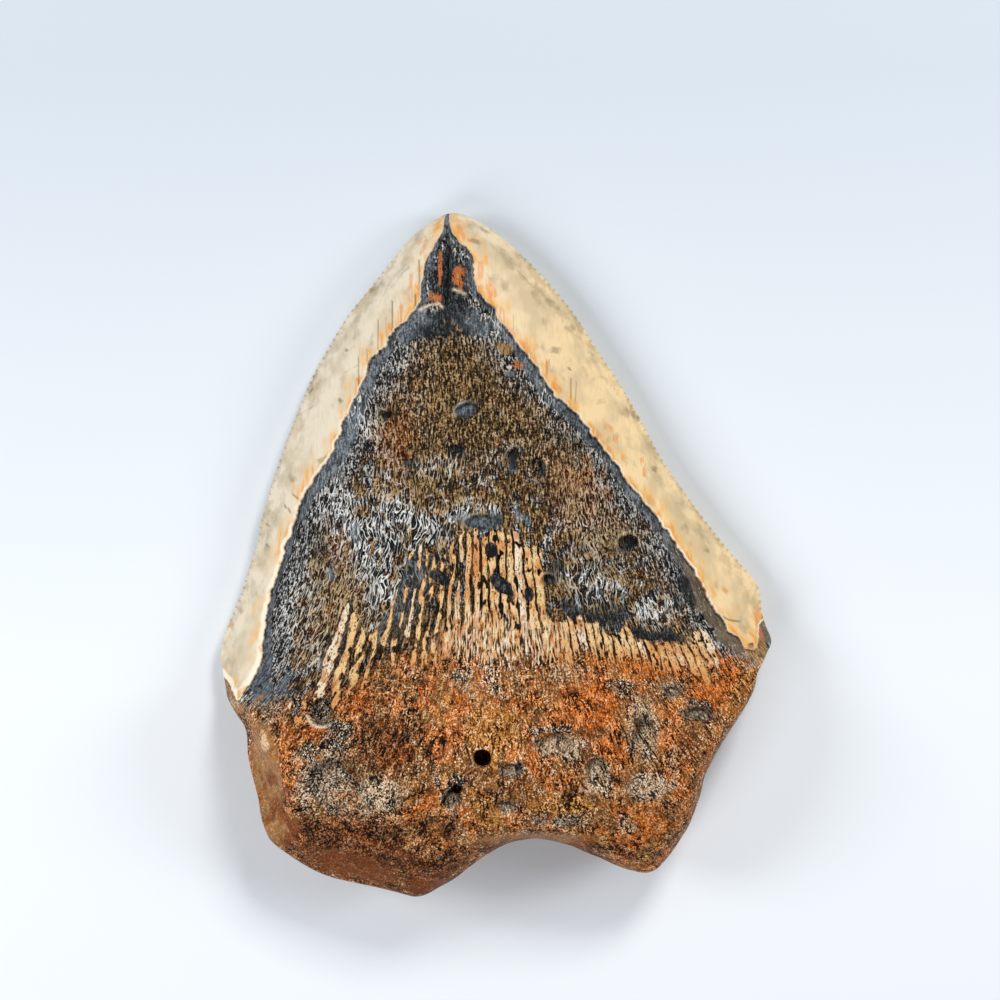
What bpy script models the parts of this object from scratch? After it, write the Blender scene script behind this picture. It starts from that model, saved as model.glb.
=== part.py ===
"""Fossil megalodon tooth, lying on its flat labial (lip-side) face with the domed lingual (tongue-side) one up.

One solid, because crown and root grew as one piece. The tip points to +Y, the root to -Y. The origin is the
middle of the tooth's footprint, on the table. Lengths below are millimetres, and MM turns them into metres.
"""

import math

import bmesh
import bpy
import numpy as np
from mathutils import Vector, noise
from mathutils.geometry import delaunay_2d_cdt
from mathutils.kdtree import KDTree

MM = 0.001

# Driving dimensions
TOOTH_LENGTH = 97.5
TOOTH_WIDTH = 78.8
ROOT_THICKNESS = 21.4
EDGE_HEIGHT = 3.2
EDGE_THICKNESS = 0.7
ROOT_RIM_HEIGHT = 8.6
ENAMEL_THICKNESS = 0.9
ENAMEL_TAPER = 3.0
ENAMEL_STEP = 0.2
SERRATION_PITCH = 1.0
SERRATION_HEIGHT = 0.26
SERRATION_TOP = (46.0, 36.0)
SERRATION_BOTTOM = (-13.0, -9.0)

# The outline seen from above, as stretches that run clockwise from the tip
RIGHT_CUTTING_EDGE = (
    (-5.5, 48.7), (-3.9, 48.2), (-2.2, 47.3), (0.6, 45.4), (3.5, 42.8), (6.4, 39.9), (9.6, 36.2),
    (12.1, 32.9), (14.6, 28.9), (17.5, 24.6), (20.8, 18.9), (23.8, 13.3), (27.8, 7.5), (32.1, 1.8),
    (34.5, -1.1), (36.9, -3.8), (37.8, -5.6), (38.2, -8.8),
)
RIGHT_SHOULDER = ((38.8, -10.8), (39.4, -12.7), (38.6, -14.4), (37.8, -16.0), (37.1, -17.3))
RIGHT_ROOT_SIDE = (
    (36.6, -19.5), (35.2, -22.2), (32.1, -27.0), (30.6, -29.6), (29.6, -31.8), (29.1, -34.1), (28.2, -36.7),
)
RIGHT_LOBE = (
    (27.4, -38.7), (26.3, -40.5), (25.2, -42.2), (24.0, -43.7), (22.8, -44.9), (21.4, -45.4), (19.5, -45.1),
)
BASE_ARCH = (
    (17.3, -44.4), (14.9, -43.3), (12.7, -42.4), (10.4, -41.4), (6.5, -40.5), (3.5, -40.7), (1.2, -41.4),
    (-1.4, -42.9), (-3.9, -44.7), (-5.8, -46.2),
)
LEFT_LOBE = (
    (-8.1, -47.5), (-9.9, -48.5), (-11.4, -48.8), (-13.1, -48.4), (-16.7, -47.5), (-20.0, -46.8),
    (-23.0, -46.1),
    (-25.6, -45.1), (-28.5, -43.4), (-31.4, -41.3),
)
LEFT_ROOT_SIDE = (
    (-32.4, -39.9), (-33.2, -37.6), (-33.6, -35.0), (-34.5, -31.5), (-35.1, -28.5), (-35.2, -26.3),
)
LEFT_SHOULDER = ((-35.6, -24.6), (-36.8, -23.0), (-38.2, -20.9), (-38.8, -18.6), (-39.2, -16.8))
LEFT_CUTTING_EDGE = (
    (-39.4, -14.5), (-38.9, -11.8), (-36.9, -7.2), (-35.2, -2.1), (-34.0, 1.8), (-33.5, 4.8), (-31.9, 10.1),
    (-30.2, 15.1), (-28.4, 19.9), (-26.1, 25.3), (-23.4, 30.2), (-20.9, 34.2), (-17.6, 38.3), (-14.6, 42.1),
    (-12.1, 45.1), (-9.4, 47.2), (-7.2, 48.5),
)

# The crest parts the outline into a left and a right side. Near the tip the parting leans to the left, and at
# the
# base the right side leaves out the arch
TIP_X = -6.0
TIP_LEFT = (-7.0, 48.0)
TIP_LEAN = 0.3
RIGHT_LOBE_X = 15.0
BLADE_Y = 20.0

# Where the enamel has broken away from the lingual face: its ragged inner edges, from the tip down
ENAMEL_EDGE_LEFT = (
    (-7.1, 49.5), (-7.5, 46.0), (-8.4, 44.2), (-9.9, 41.5), (-10.3, 38.6), (-11.2, 34.6), (-14.2, 31.6),
    (-15.6, 29.3),
    (-17.4, 27.7), (-19.4, 22.5), (-21.8, 17.5), (-23.4, 13.6), (-25.3, 11.0), (-27.9, 6.5), (-29.2, 2.3),
    (-31.2, -3.5),
    (-32.6, -8.2), (-33.0, -13.2), (-34.1, -17.5), (-36.4, -20.8), (-37.6, -19.8), (-38.8, -18.4),
    (-41.0, -16.8),
)
ENAMEL_EDGE_RIGHT = (
    (-6.8, 49.5), (-6.5, 46.2), (-5.5, 44.5), (-3.6, 42.4), (-3.0, 38.2), (-1.0, 35.4), (0.9, 32.3),
    (2.6, 30.2), (6.3, 25.6),
    (8.1, 22.4), (11.2, 19.8), (15.0, 15.0), (19.7, 8.8), (23.0, 4.6), (24.7, 2.6), (28.1, -2.7),
    (29.4, -5.2),
    (32.6, -10.2), (36.0, -13.9), (37.6, -12.6), (37.9, -10.4), (41.0, -7.0),
)
# A path far outside the root that closes the bared field between the two edges
ROUND_THE_ROOT = ((44.0, -7.0), (60.0, -60.0), (-60.0, -60.0), (-44.0, -16.8))
# The labial face keeps its enamel down to this low arch
LABIAL_ENAMEL_FOOT = (
    (-44.0, -19.5), (-38.0, -18.8), (-30.0, -17.2), (-18.0, -14.2), (-5.0, -12.4), (8.0, -12.8),
    (22.0, -14.8), (32.0, -15.6),
    (39.0, -14.2), (44.0, -13.8),
)

# Height of the lingual crest above the table, along the length
CREST = (
    (-50.0, 12.0), (-46.0, 13.6), (-41.0, 16.6), (-35.0, 19.8), (-29.0, ROOT_THICKNESS), (-23.0, 20.9),
    (-16.0, 18.6),
    (-8.0, 17.4), (2.0, 16.3), (14.0, 14.4), (26.0, 11.9), (36.0, 9.3), (43.0, 7.1), (47.0, 5.5),
    (48.4, 4.5), (50.0, 3.7),
)
CROWN_ROUNDNESS = 1.9
ROOT_FLANK_DROP = 8.2
ROOT_HALF_WIDTH = 36.0
ROOT_ROUNDNESS = 2.3
ROOT_CREST_X = -1.0
CROWN_ROOT_LINE = ((-39.4, -21.5), (39.4, -13.5))
SHOULDER_REACH = 4.5
NECK_REACH = 8.0

# How far in from the outline the root's flanks round over, across the width
FLANK_RADIUS = ((-24.0, 5.2), (-12.0, 4.2), (2.0, 3.0), (16.0, 2.4), (40.0, 2.3))
LABIAL_FLANK_RADIUS = 6.5
# The left flank is worn to a plain slope instead. Its width, going down the side, and where it ends
WORN_WALL_X = -23.0
WORN_WALL_WIDTH = ((-44.0, 5.2), (-37.0, 5.0), (-30.0, 4.6), (-26.0, 2.3), (-20.0, 1.6))
WORN_WALL_BOTTOM_Y = -38.0
WORN_WALL_FADE = 3.0

# The labial face: a gentle bow, worn flat in the middle where the tooth rests
LABIAL_BOW_ACROSS = 1.5
LABIAL_BOW_TO_TIP = 1.7
LABIAL_BOW_TO_BASE = 2.6
LABIAL_WEAR = 0.28
LABIAL_HALF_WIDTH = 36.0
LABIAL_BOW_ROUNDNESS = 2.4
LABIAL_TIP_LENGTH = 46.0
LABIAL_BASE_Y = -26.0
LABIAL_BASE_LENGTH = 22.0
LABIAL_EDGE_ROUNDNESS = 5

# A plate of the inner layer is left at the tip. It ends in a low ledge, and a crack runs down its middle
TIP_PLATE_LEDGE = (
    (-12.5, 34.4), (-11.2, 34.9), (-9.4, 35.4), (-7.6, 34.8), (-6.4, 36.2), (-5.5, 37.0), (-3.6, 36.4),
    (0.0, 36.6),
)
TIP_PLATE_RISE = 0.45
TIP_LEDGE_WIDTH = 0.5
TIP_CRACK = ((-6.95, 49.0), (-6.9, 44.0), (-6.8, 40.0), (-7.1, 35.5))
TIP_CRACK_DEPTH = 0.8
TIP_CRACK_HALF_WIDTH = 0.7
TIP_CRACK_FLOOR = 0.2
TIP_CRACK_TAPER = 1.0

# The ribbed band at the neck. The ribs fan out from a point above the tip
RIB_TOP = (
    (-24.0, -18.0), (-22.0, -13.0), (-19.0, -8.6), (-15.4, -6.5), (-13.3, -3.6), (-11.0, 0.6), (-5.5, 2.6),
    (1.5, 3.0),
    (5.9, 1.2), (7.0, -6.0), (9.0, -8.6), (13.2, -9.3), (17.4, -11.6), (20.8, -10.2), (27.0, -10.4),
    (31.5, -13.0),
)
RIB_FOOT = (
    (-24.0, -21.0), (-21.5, -20.2), (-17.5, -16.4), (-13.0, -13.6), (-6.0, -13.4), (1.0, -14.1),
    (15.0, -14.8),
    (22.0, -16.0), (31.5, -17.8),
)
RIB_FAN = (-2.0, 60.0)
RIB_PITCH = 1.15
RIB_PITCH_Y = -13.0
RIB_HEIGHT = 0.32
RIB_TOP_FADE = (0.3, -0.9)
RIB_FOOT_FADE = (-0.3, 1.2)
RIB_MESH_MARGIN = 0.4
# A height for places beside the band, where no rib starts
NO_RIBS_Y = -90.0

# Low swellings of the worn surfaces
LUMP_SIZE = 5.5
LUMP_ROOT = 0.55
LUMP_DENTINE = 0.25
LUMP_LABIAL = 0.275
LUMPS_RISE_WITH_BOW = (0.3, 1.2)
LINGUAL_LAYER = 3.1
LABIAL_LAYER = 8.7
# How far from the outline the relief starts, and how far from the enamel the swellings do
RELIEF_TAPER = 2.0
ENAMEL_SHELTER = 1.5

# Pits on the lingual face: x, y, half width, half length, turn in degrees, depth, and how wide the floor is
# as a share
PITS = (
    ("foramen", -1.8, -28.2, 1.3, 1.3, 0.0, 5.0, 0.8),
    ("second_foramen", -5.3, -32.5, 0.9, 0.8, 0.0, 2.4, 0.6),
    ("second_foramen_dish", -5.9, -34.1, 1.6, 2.0, 15.0, 0.8, 0.4),
    ("neck_pit", -24.2, -21.9, 1.8, 2.0, 0.0, 1.3, 0.6),
    ("long_pit_right", 28.6, -22.6, 2.6, 1.25, -12.0, 0.9, 0.4),
    ("dish_middle", 8.2, -26.4, 2.9, 2.1, 0.0, 0.9, 0.4),
    ("dish_below_foramen", 2.3, -29.8, 1.8, 1.2, 0.0, 0.45, 0.4),
    ("dish_right", 14.1, -30.2, 1.8, 2.7, 0.0, 0.6, 0.4),
    ("trough_right", 20.8, -25.8, 2.2, 4.4, 5.0, 0.5, 0.3),
    ("hollow_right", 24.8, -19.4, 1.5, 1.0, -10.0, 0.6, 0.4),
    ("hollow_arch", 1.3, -35.2, 1.9, 1.2, 0.0, 0.5, 0.4),
    ("broad_hollow_left", -22.3, -31.7, 5.0, 4.4, 0.0, 0.6, 0.3),
    ("oval_pit", -3.9, 20.0, 1.9, 1.3, 12.0, 0.6, 0.5),
    ("crown_pit", 2.5, 13.1, 1.2, 1.9, -8.0, 0.5, 0.5),
    ("crown_pit_right", 18.7, 1.2, 1.7, 1.6, 30.0, 0.7, 0.5),
    ("crown_pit_lower", 7.4, -4.1, 1.4, 1.3, 0.0, 0.5, 0.5),
    ("crown_pit_left", -12.7, -2.7, 1.4, 1.0, 25.0, 0.5, 0.5),
    ("shallow_pit_left", -17.9, 15.1, 0.9, 1.0, 0.0, 0.4, 0.5),
    ("hollow_above_ribs", -1.8, 4.4, 2.6, 1.2, 0.0, 0.6, 0.4),
)
# Pits on the labial face of the root
LABIAL_PITS = (
    ("labial_pit_left", -14.0, -30.0, 1.6, 2.2, 25.0, 1.0, 0.5),
    ("labial_pit_middle", 1.5, -33.5, 1.2, 1.2, 0.0, 1.4, 0.6),
    ("labial_pit_right", 17.5, -29.0, 1.9, 1.4, -20.0, 1.0, 0.5),
)

# Spacing of the points that the faces are meshed from
CUTTING_EDGE_STEP = SERRATION_PITCH / 2
ROOT_OUTLINE_STEP = 1.5
ENAMEL_LINE_STEP = 1.25
ENAMEL_LINE_GAP = 0.35
LINGUAL_SPACING = 2.0
LABIAL_SPACING = 3.0
RIB_STEP = 1.35
LINE_SAMPLE_STEP = 0.15
EDGE_RING_DEPTH = 1.0
LEDGE_STEP = 0.9
LEDGE_RISE = 0.55
CRACK_STEP = 1.0
PIT_STEP = 0.95
PIT_LEAST_SIDES = 10
PIT_OUTER_RING = 1.03
ROW_SHARE = 0.866
# The flanks get rings at these shares of their radius, up to a little above the shoulders
FLANK_RINGS = (0.08, 0.3, 0.62, 1.0)
FLANK_RING_MARGIN = 6.0
LINGUAL_EDGE_RADIUS = 1.1
LABIAL_EDGE_RADIUS = 2.4
RING_TOLERANCE = 0.93
# The least distance of a new point from the points already there
RING_GAP = 0.32
EDGE_RING_GAP = 0.7
ENAMEL_STRIP_GAP = 0.2
PIT_GAP = 0.12
LEDGE_GAP = 0.35
CRACK_GAP = 0.3
RIB_GAP = 0.45
LATTICE_GAP_SHARE = 0.6
LABIAL_RING_GAP = 0.9
LABIAL_PIT_GAP = 0.3

COLOURS = {
    "enamel": ((0.70, 0.61, 0.44, 1.0), 0.35),
    "dentine": ((0.085, 0.070, 0.060, 1.0), 0.45),
    "root": ((0.24, 0.115, 0.045, 1.0), 0.6),
}


def clear_scene():
    for obj in list(bpy.data.objects):
        bpy.data.objects.remove(obj, do_unlink=True)


def smoothstep(low, high, value):
    share = np.clip((value - low) / (high - low), 0.0, 1.0)
    return share * share * (3.0 - 2.0 * share)


def mix(first, second, share):
    return first + (second - first) * share


def spline(points, step, closed=False):
    """Points at an even step along a Catmull-Rom curve through the given ones."""
    given = np.array(points, float)
    if closed:
        given = np.vstack([given[-1], given, given[:2]])
    else:
        given = np.vstack([2 * given[0] - given[1], given, 2 * given[-1] - given[-2]])
    share = np.linspace(0.0, 1.0, 12, endpoint=False)[:, None]
    pieces = []
    for a, b, c, d in zip(given[:-3], given[1:-2], given[2:-1], given[3:]):
        squared = (2 * a - 5 * b + 4 * c - d) * share**2
        cubed = (3 * b - a - 3 * c + d) * share**3
        pieces.append(0.5 * (2 * b + (c - a) * share + squared + cubed))
    pieces.append(given[-2:-1])
    curve = np.vstack(pieces)
    run = np.concatenate([[0.0], np.cumsum(np.linalg.norm(np.diff(curve, axis=0), axis=1))])
    count = max(2, round(run[-1] / step))
    marks = np.linspace(0.0, run[-1], count + 1)[: count if closed else count + 1]
    return np.stack([np.interp(marks, run, curve[:, axis]) for axis in (0, 1)], axis=1)


def along(table, value):
    """Reads a smooth curve through a table of (place, amount)."""
    curve = spline(table, 0.25)
    return np.interp(value, curve[:, 0], curve[:, 1])


def tree_of(line):
    tree = KDTree(len(line))
    for index, (x, y) in enumerate(line):
        tree.insert((x, y, 0.0), index)
    tree.balance()
    return tree


def gap_to(tree, points):
    """Distance from each point to the nearest sample of a line."""
    return np.array([tree.find((x, y, 0.0))[2] for x, y in points])


def inside(polygon, points):
    """True for each point inside the polygon, by counting the sides above it."""
    found = np.zeros(len(points), bool)
    x, y = points[:, 0], points[:, 1]
    for (x0, y0), (x1, y1) in zip(polygon, np.roll(polygon, -1, axis=0)):
        crosses = (x0 > x) != (x1 > x)
        if crosses.any():
            found ^= crosses & (y < (y1 - y0) * (x - x0) / (x1 - x0 + 1e-12) + y0)
    return found


def outward(line):
    """Unit normals of a closed clockwise line, pointing out of it."""
    run = np.roll(line, -1, axis=0) - np.roll(line, 1, axis=0)
    normal = np.stack([-run[:, 1], run[:, 0]], axis=1)
    return normal / np.linalg.norm(normal, axis=1, keepdims=True)


def serrate(edge):
    """Pushes every second point of a cutting edge out and the others in, fading out at both ends."""
    count = len(edge)
    run = np.gradient(edge, axis=0)
    normal = np.stack([-run[:, 1], run[:, 0]], axis=1)
    normal /= np.linalg.norm(normal, axis=1, keepdims=True)
    sign = np.where(np.arange(count) % 2, 1.0, -1.0)
    wear = smoothstep(*SERRATION_TOP, edge[:, 1]) * smoothstep(*SERRATION_BOTTOM, edge[:, 1])
    return edge + normal * (sign * wear * SERRATION_HEIGHT / 2)[:, None]


def outline_points():
    """The closed outline, clockwise: fine along the two serrated edges, coarser round the root."""
    right = spline(RIGHT_CUTTING_EDGE, CUTTING_EDGE_STEP)
    root = spline(
        RIGHT_CUTTING_EDGE[-1:] + RIGHT_SHOULDER + RIGHT_ROOT_SIDE + RIGHT_LOBE + BASE_ARCH + LEFT_LOBE
        + LEFT_ROOT_SIDE + LEFT_SHOULDER + LEFT_CUTTING_EDGE[:1],
        ROOT_OUTLINE_STEP,
    )
    left = spline(LEFT_CUTTING_EDGE, CUTTING_EDGE_STEP)
    return np.vstack([serrate(right), root[1:-1], serrate(left)])


class Form:
    """The tooth's two faces as heights above the table at any point of its plan."""

    def __init__(self, outline):
        self.outline = outline
        self.corner_tree = tree_of(outline)
        self.outline_tree = tree_of(spline(outline, LINE_SAMPLE_STEP, closed=True))
        x, y = outline.T
        left = outline[x < np.minimum(0.0, TIP_LEFT[0] + TIP_LEAN * (TIP_LEFT[1] - y))]
        right = outline[(x > TIP_X) & ((x > RIGHT_LOBE_X) | (y > BLADE_Y))]
        self.left = left[np.argsort(left[:, 1])]
        self.right = right[np.argsort(right[:, 1])]
        self.enamel_left = spline(ENAMEL_EDGE_LEFT, LINE_SAMPLE_STEP)
        self.enamel_right = spline(ENAMEL_EDGE_RIGHT, LINE_SAMPLE_STEP)
        self.enamel_tree = tree_of(np.vstack([self.enamel_left, self.enamel_right]))
        self.bare_field = np.vstack([self.enamel_right, ROUND_THE_ROOT, self.enamel_left[::-1]])
        self.crack_tree = tree_of(spline(TIP_CRACK, LINE_SAMPLE_STEP))
        self.plate_ledge = spline(TIP_PLATE_LEDGE, LINE_SAMPLE_STEP)

    def root_share(self, points, reach):
        """0 on the crown, 1 on the root, turning over within a reach of the line between the shoulders."""
        line_y = np.interp(points[:, 0], *zip(*CROWN_ROOT_LINE))
        return smoothstep(-reach, reach, line_y - points[:, 1])

    def rim(self, points, side):
        """Height of the edge. Side is 1 for its lingual lip and -1 for its labial one."""
        middle = mix(EDGE_HEIGHT, ROOT_RIM_HEIGHT, self.root_share(points, SHOULDER_REACH))
        return middle + side * EDGE_THICKNESS / 2

    def on_outline(self, points):
        return gap_to(self.corner_tree, points) < 1e-4

    def across(self, points):
        """-1 at the left outline, 0 on the crest, 1 at the right outline."""
        left = np.interp(points[:, 1], self.left[:, 1], self.left[:, 0])
        right = np.interp(points[:, 1], self.right[:, 1], self.right[:, 0])
        return np.clip((points[:, 0] - (left + right) / 2) / np.maximum((right - left) / 2, 0.5), -1.0, 1.0)

    def enamel_side(self, points):
        """Distance into the enamel from its ragged edge: positive on enamel, negative where it has gone."""
        return np.where(inside(self.bare_field, points), -1.0, 1.0) * gap_to(self.enamel_tree, points)

    def flank(self, gap, radius):
        """How far a root flank has risen, from 0 at the outline to 1 on the face, as a quarter circle."""
        share = 1.0 - np.clip(gap / radius, 0.0, 1.0)
        return np.sqrt(1.0 - share * share)

    def bare_form(self, points, gap, rim):
        """The lingual face without its enamel: the crown's dome, the root's, and the flanks."""
        x, y = points[:, 0], points[:, 1]
        crest = along(CREST, y)
        crown = crest - (crest - rim) * np.abs(self.across(points)) ** CROWN_ROUNDNESS
        dome = crest - ROOT_FLANK_DROP * (np.abs(x - ROOT_CREST_X) / ROOT_HALF_WIDTH) ** ROOT_ROUNDNESS
        above_bottom = smoothstep(WORN_WALL_BOTTOM_Y - WORN_WALL_FADE, WORN_WALL_BOTTOM_Y + WORN_WALL_FADE, y)
        worn = on_worn_wall(x) * above_bottom
        radius = self.flank_radius(points)
        rise = mix(self.flank(gap, radius), np.clip(gap / radius, 0.0, 1.0), worn)
        root = rim + (dome - rim) * rise
        return mix(crown, root, self.root_share(points, NECK_REACH))

    def flank_radius(self, points):
        x, y = points[:, 0], points[:, 1]
        return mix(along(FLANK_RADIUS, x), along(WORN_WALL_WIDTH, y), on_worn_wall(x))

    def lingual(self, points):
        gap = gap_to(self.outline_tree, points)
        rim = self.rim(points, 1)
        side = self.enamel_side(points)
        bare = smoothstep(ENAMEL_STEP, -ENAMEL_STEP, side)
        height = self.bare_form(points, gap, rim)
        height += ENAMEL_THICKNESS * (1.0 - bare) * smoothstep(0.0, ENAMEL_TAPER, gap)
        above_ledge = points[:, 1] - np.interp(points[:, 0], *self.plate_ledge.T)
        height += TIP_PLATE_RISE * smoothstep(0.0, TIP_LEDGE_WIDTH, above_ledge) * bare
        in_crack = smoothstep(TIP_CRACK_HALF_WIDTH, TIP_CRACK_FLOOR, gap_to(self.crack_tree, points))
        height -= TIP_CRACK_DEPTH * in_crack * smoothstep(0.0, TIP_CRACK_TAPER, gap)
        inner = smoothstep(0.0, RELIEF_TAPER, gap)
        swelling = mix(LUMP_DENTINE, LUMP_ROOT, self.root_share(points, NECK_REACH))
        height += swelling * lumps(points, LINGUAL_LAYER) * smoothstep(0.0, -ENAMEL_SHELTER, side) * inner
        height += rib_rise(points) * inner
        for pit in PITS:
            height -= sunk(pit, points)
        return np.where(self.on_outline(points), rim, height)

    def labial(self, points):
        x, y = points[:, 0], points[:, 1]
        gap = gap_to(self.outline_tree, points)
        rim = self.rim(points, -1)
        bow = LABIAL_BOW_ACROSS * (np.abs(x) / LABIAL_HALF_WIDTH) ** LABIAL_BOW_ROUNDNESS
        bow += LABIAL_BOW_TO_TIP * (np.clip(y, 0.0, None) / LABIAL_TIP_LENGTH) ** 2
        bow += LABIAL_BOW_TO_BASE * (np.clip(LABIAL_BASE_Y - y, 0.0, None) / LABIAL_BASE_LENGTH) ** 2
        swelling = LUMP_LABIAL * lumps(points, LABIAL_LAYER) * self.root_share(points, NECK_REACH)
        bow = np.maximum(bow - LABIAL_WEAR + swelling * smoothstep(*LUMPS_RISE_WITH_BOW, bow), 0.0)
        crown = bow + np.maximum(rim - bow, 0.0) * np.abs(self.across(points)) ** LABIAL_EDGE_ROUNDNESS
        root = rim - (rim - bow) * self.flank(gap, LABIAL_FLANK_RADIUS)
        height = mix(crown, root, self.root_share(points, NECK_REACH))
        for pit in LABIAL_PITS:
            height += sunk(pit, points)
        return np.where(self.on_outline(points), rim, height)


def on_worn_wall(x):
    return smoothstep(WORN_WALL_X + WORN_WALL_FADE, WORN_WALL_X - WORN_WALL_FADE, x)


def lumps(points, layer):
    """Smooth swellings between about -1 and 1."""
    return np.array([noise.noise((x / LUMP_SIZE, y / LUMP_SIZE, layer)) for x, y in points])


def rib_turn(points):
    """Which rib a point is on: whole numbers on the ribs, halves in the grooves."""
    slope = (points[:, 0] - RIB_FAN[0]) / (RIB_FAN[1] - points[:, 1])
    return slope * (RIB_FAN[1] - RIB_PITCH_Y) / RIB_PITCH


def rib_rise(points):
    x, y = points[:, 0], points[:, 1]
    top = np.interp(x, *zip(*RIB_TOP), left=NO_RIBS_Y, right=NO_RIBS_Y)
    foot = np.interp(x, *zip(*RIB_FOOT))
    band = smoothstep(*RIB_TOP_FADE, y - top) * smoothstep(*RIB_FOOT_FADE, y - foot)
    return RIB_HEIGHT * band * (0.5 + 0.5 * np.cos(math.tau * rib_turn(points)))


def rib_points(step):
    """Points along every rib and every groove of the band."""
    ends = np.array([RIB_TOP[0], RIB_TOP[-1]])
    first, last = np.round(2 * rib_turn(ends)).astype(int)
    y = np.arange(max(place[1] for place in RIB_TOP), min(place[1] for place in RIB_FOOT), -step)
    lines = []
    for half_turn in range(first, last + 1):
        slope = half_turn / 2 * RIB_PITCH / (RIB_FAN[1] - RIB_PITCH_Y)
        lines.append(np.stack([RIB_FAN[0] + slope * (RIB_FAN[1] - y), y], axis=1))
    found = np.vstack(lines)
    top = np.interp(found[:, 0], *zip(*RIB_TOP), left=NO_RIBS_Y, right=NO_RIBS_Y)
    foot = np.interp(found[:, 0], *zip(*RIB_FOOT))
    return found[(found[:, 1] < top + RIB_MESH_MARGIN) & (found[:, 1] > foot - RIB_MESH_MARGIN)]


def in_pit(pit, points):
    """Distance from a pit's middle as a share of its oval, 1 at the lip."""
    _, x, y, half_width, half_length, turn, _, _ = pit
    cos, sin = math.cos(math.radians(turn)), math.sin(math.radians(turn))
    dx, dy = points[:, 0] - x, points[:, 1] - y
    return np.hypot((dx * cos + dy * sin) / half_width, (dy * cos - dx * sin) / half_length)


def sunk(pit, points):
    depth, floor = pit[-2:]
    return depth * smoothstep(1.0, floor, in_pit(pit, points))


def pit_ring_points(pits):
    """Three ovals and a middle point for each pit, so that its wall and floor have corners of their own."""
    rings = []
    for _, x, y, half_width, half_length, turn, _, floor in pits:
        count = max(PIT_LEAST_SIDES, round(math.tau * math.sqrt(half_width * half_length) / PIT_STEP))
        turns = np.arange(count) * math.tau / count
        cos, sin = math.cos(math.radians(turn)), math.sin(math.radians(turn))
        for share in (PIT_OUTER_RING, (1.0 + floor) / 2, floor):
            dx, dy = share * half_width * np.cos(turns), share * half_length * np.sin(turns)
            rings.append(np.stack([x + dx * cos - dy * sin, y + dx * sin + dy * cos], axis=1))
        rings.append(np.array([(x, y)]))
    return np.vstack(rings)


def inset_rings(outline, tree, radii, shares):
    """Copies of the outline moved in by shares of a radius, without points that would cross in a tight corner."""
    normal = outward(outline)
    rings = []
    for share in shares:
        depth = radii * share
        ring = outline - normal * depth[:, None]
        rings.append(ring[gap_to(tree, ring) > RING_TOLERANCE * depth])
    return rings


def hexagonal(spacing):
    """Points on a triangular lattice over the tooth's rectangle."""
    rows = []
    row_step = spacing * ROW_SHARE
    for row in range(int(TOOTH_LENGTH / row_step) + 2):
        xs = np.arange(-TOOTH_WIDTH / 2, TOOTH_WIDTH / 2, spacing) + (spacing / 2 if row % 2 else 0.0)
        rows.append(np.stack([xs, np.full(len(xs), -TOOTH_LENGTH / 2 + row * row_step)], axis=1))
    return np.vstack(rows)


def thinned(points, kept, least):
    """The points that lie at least a given distance from those already kept."""
    return points[gap_to(tree_of(kept), points) > least]


def triangles(outline, inner):
    """Delaunay triangles inside the outline. Returns all the points and the corners of each triangle."""
    inner = inner[inside(outline, inner)]
    every = [Vector(p) for p in np.vstack([outline, inner])]
    made = delaunay_2d_cdt(every, [], [list(range(len(outline)))], 1, 1e-5)
    return np.array([tuple(p) for p in made[0]]), [tuple(f) for f in made[2]]


def round_the_root(points):
    return points[:, 1] < np.interp(points[:, 0], *zip(*CROWN_ROOT_LINE)) + FLANK_RING_MARGIN


def lingual_mesh(form):
    outline, tree = form.outline, form.outline_tree
    kept = [outline]
    radii = np.where(round_the_root(outline), form.flank_radius(outline), LINGUAL_EDGE_RADIUS)
    for ring in inset_rings(outline, tree, radii, FLANK_RINGS):
        kept.append(thinned(ring[round_the_root(ring)], np.vstack(kept), RING_GAP))
    every_second = outline[::2]
    edge_ring = inset_rings(every_second, tree, np.full(len(every_second), EDGE_RING_DEPTH), (1.0,))[0]
    kept.append(thinned(edge_ring, np.vstack(kept), EDGE_RING_GAP))
    for line in (ENAMEL_EDGE_LEFT, ENAMEL_EDGE_RIGHT):
        curve = spline(line, ENAMEL_LINE_STEP)
        run = np.gradient(curve, axis=0)
        normal = np.stack([-run[:, 1], run[:, 0]], axis=1)
        normal *= ENAMEL_LINE_GAP / 2 / np.linalg.norm(normal, axis=1, keepdims=True)
        for strip in (curve - normal, curve + normal):
            kept.append(thinned(strip, np.vstack(kept), ENAMEL_STRIP_GAP))
    kept.append(thinned(pit_ring_points(PITS), np.vstack(kept), PIT_GAP))
    ledge = spline(TIP_PLATE_LEDGE, LEDGE_STEP)
    for offset in (0.0, LEDGE_RISE):
        kept.append(thinned(ledge + (0.0, offset), np.vstack(kept), LEDGE_GAP))
    crack = spline(TIP_CRACK, CRACK_STEP)
    for offset in (-TIP_CRACK_HALF_WIDTH, 0.0, TIP_CRACK_HALF_WIDTH):
        kept.append(thinned(crack + (offset, 0.0), np.vstack(kept), CRACK_GAP))
    kept.append(thinned(rib_points(RIB_STEP), np.vstack(kept), RIB_GAP))
    kept.append(thinned(hexagonal(LINGUAL_SPACING), np.vstack(kept), LATTICE_GAP_SHARE * LINGUAL_SPACING))
    return triangles(outline, np.vstack(kept[1:]))


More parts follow.
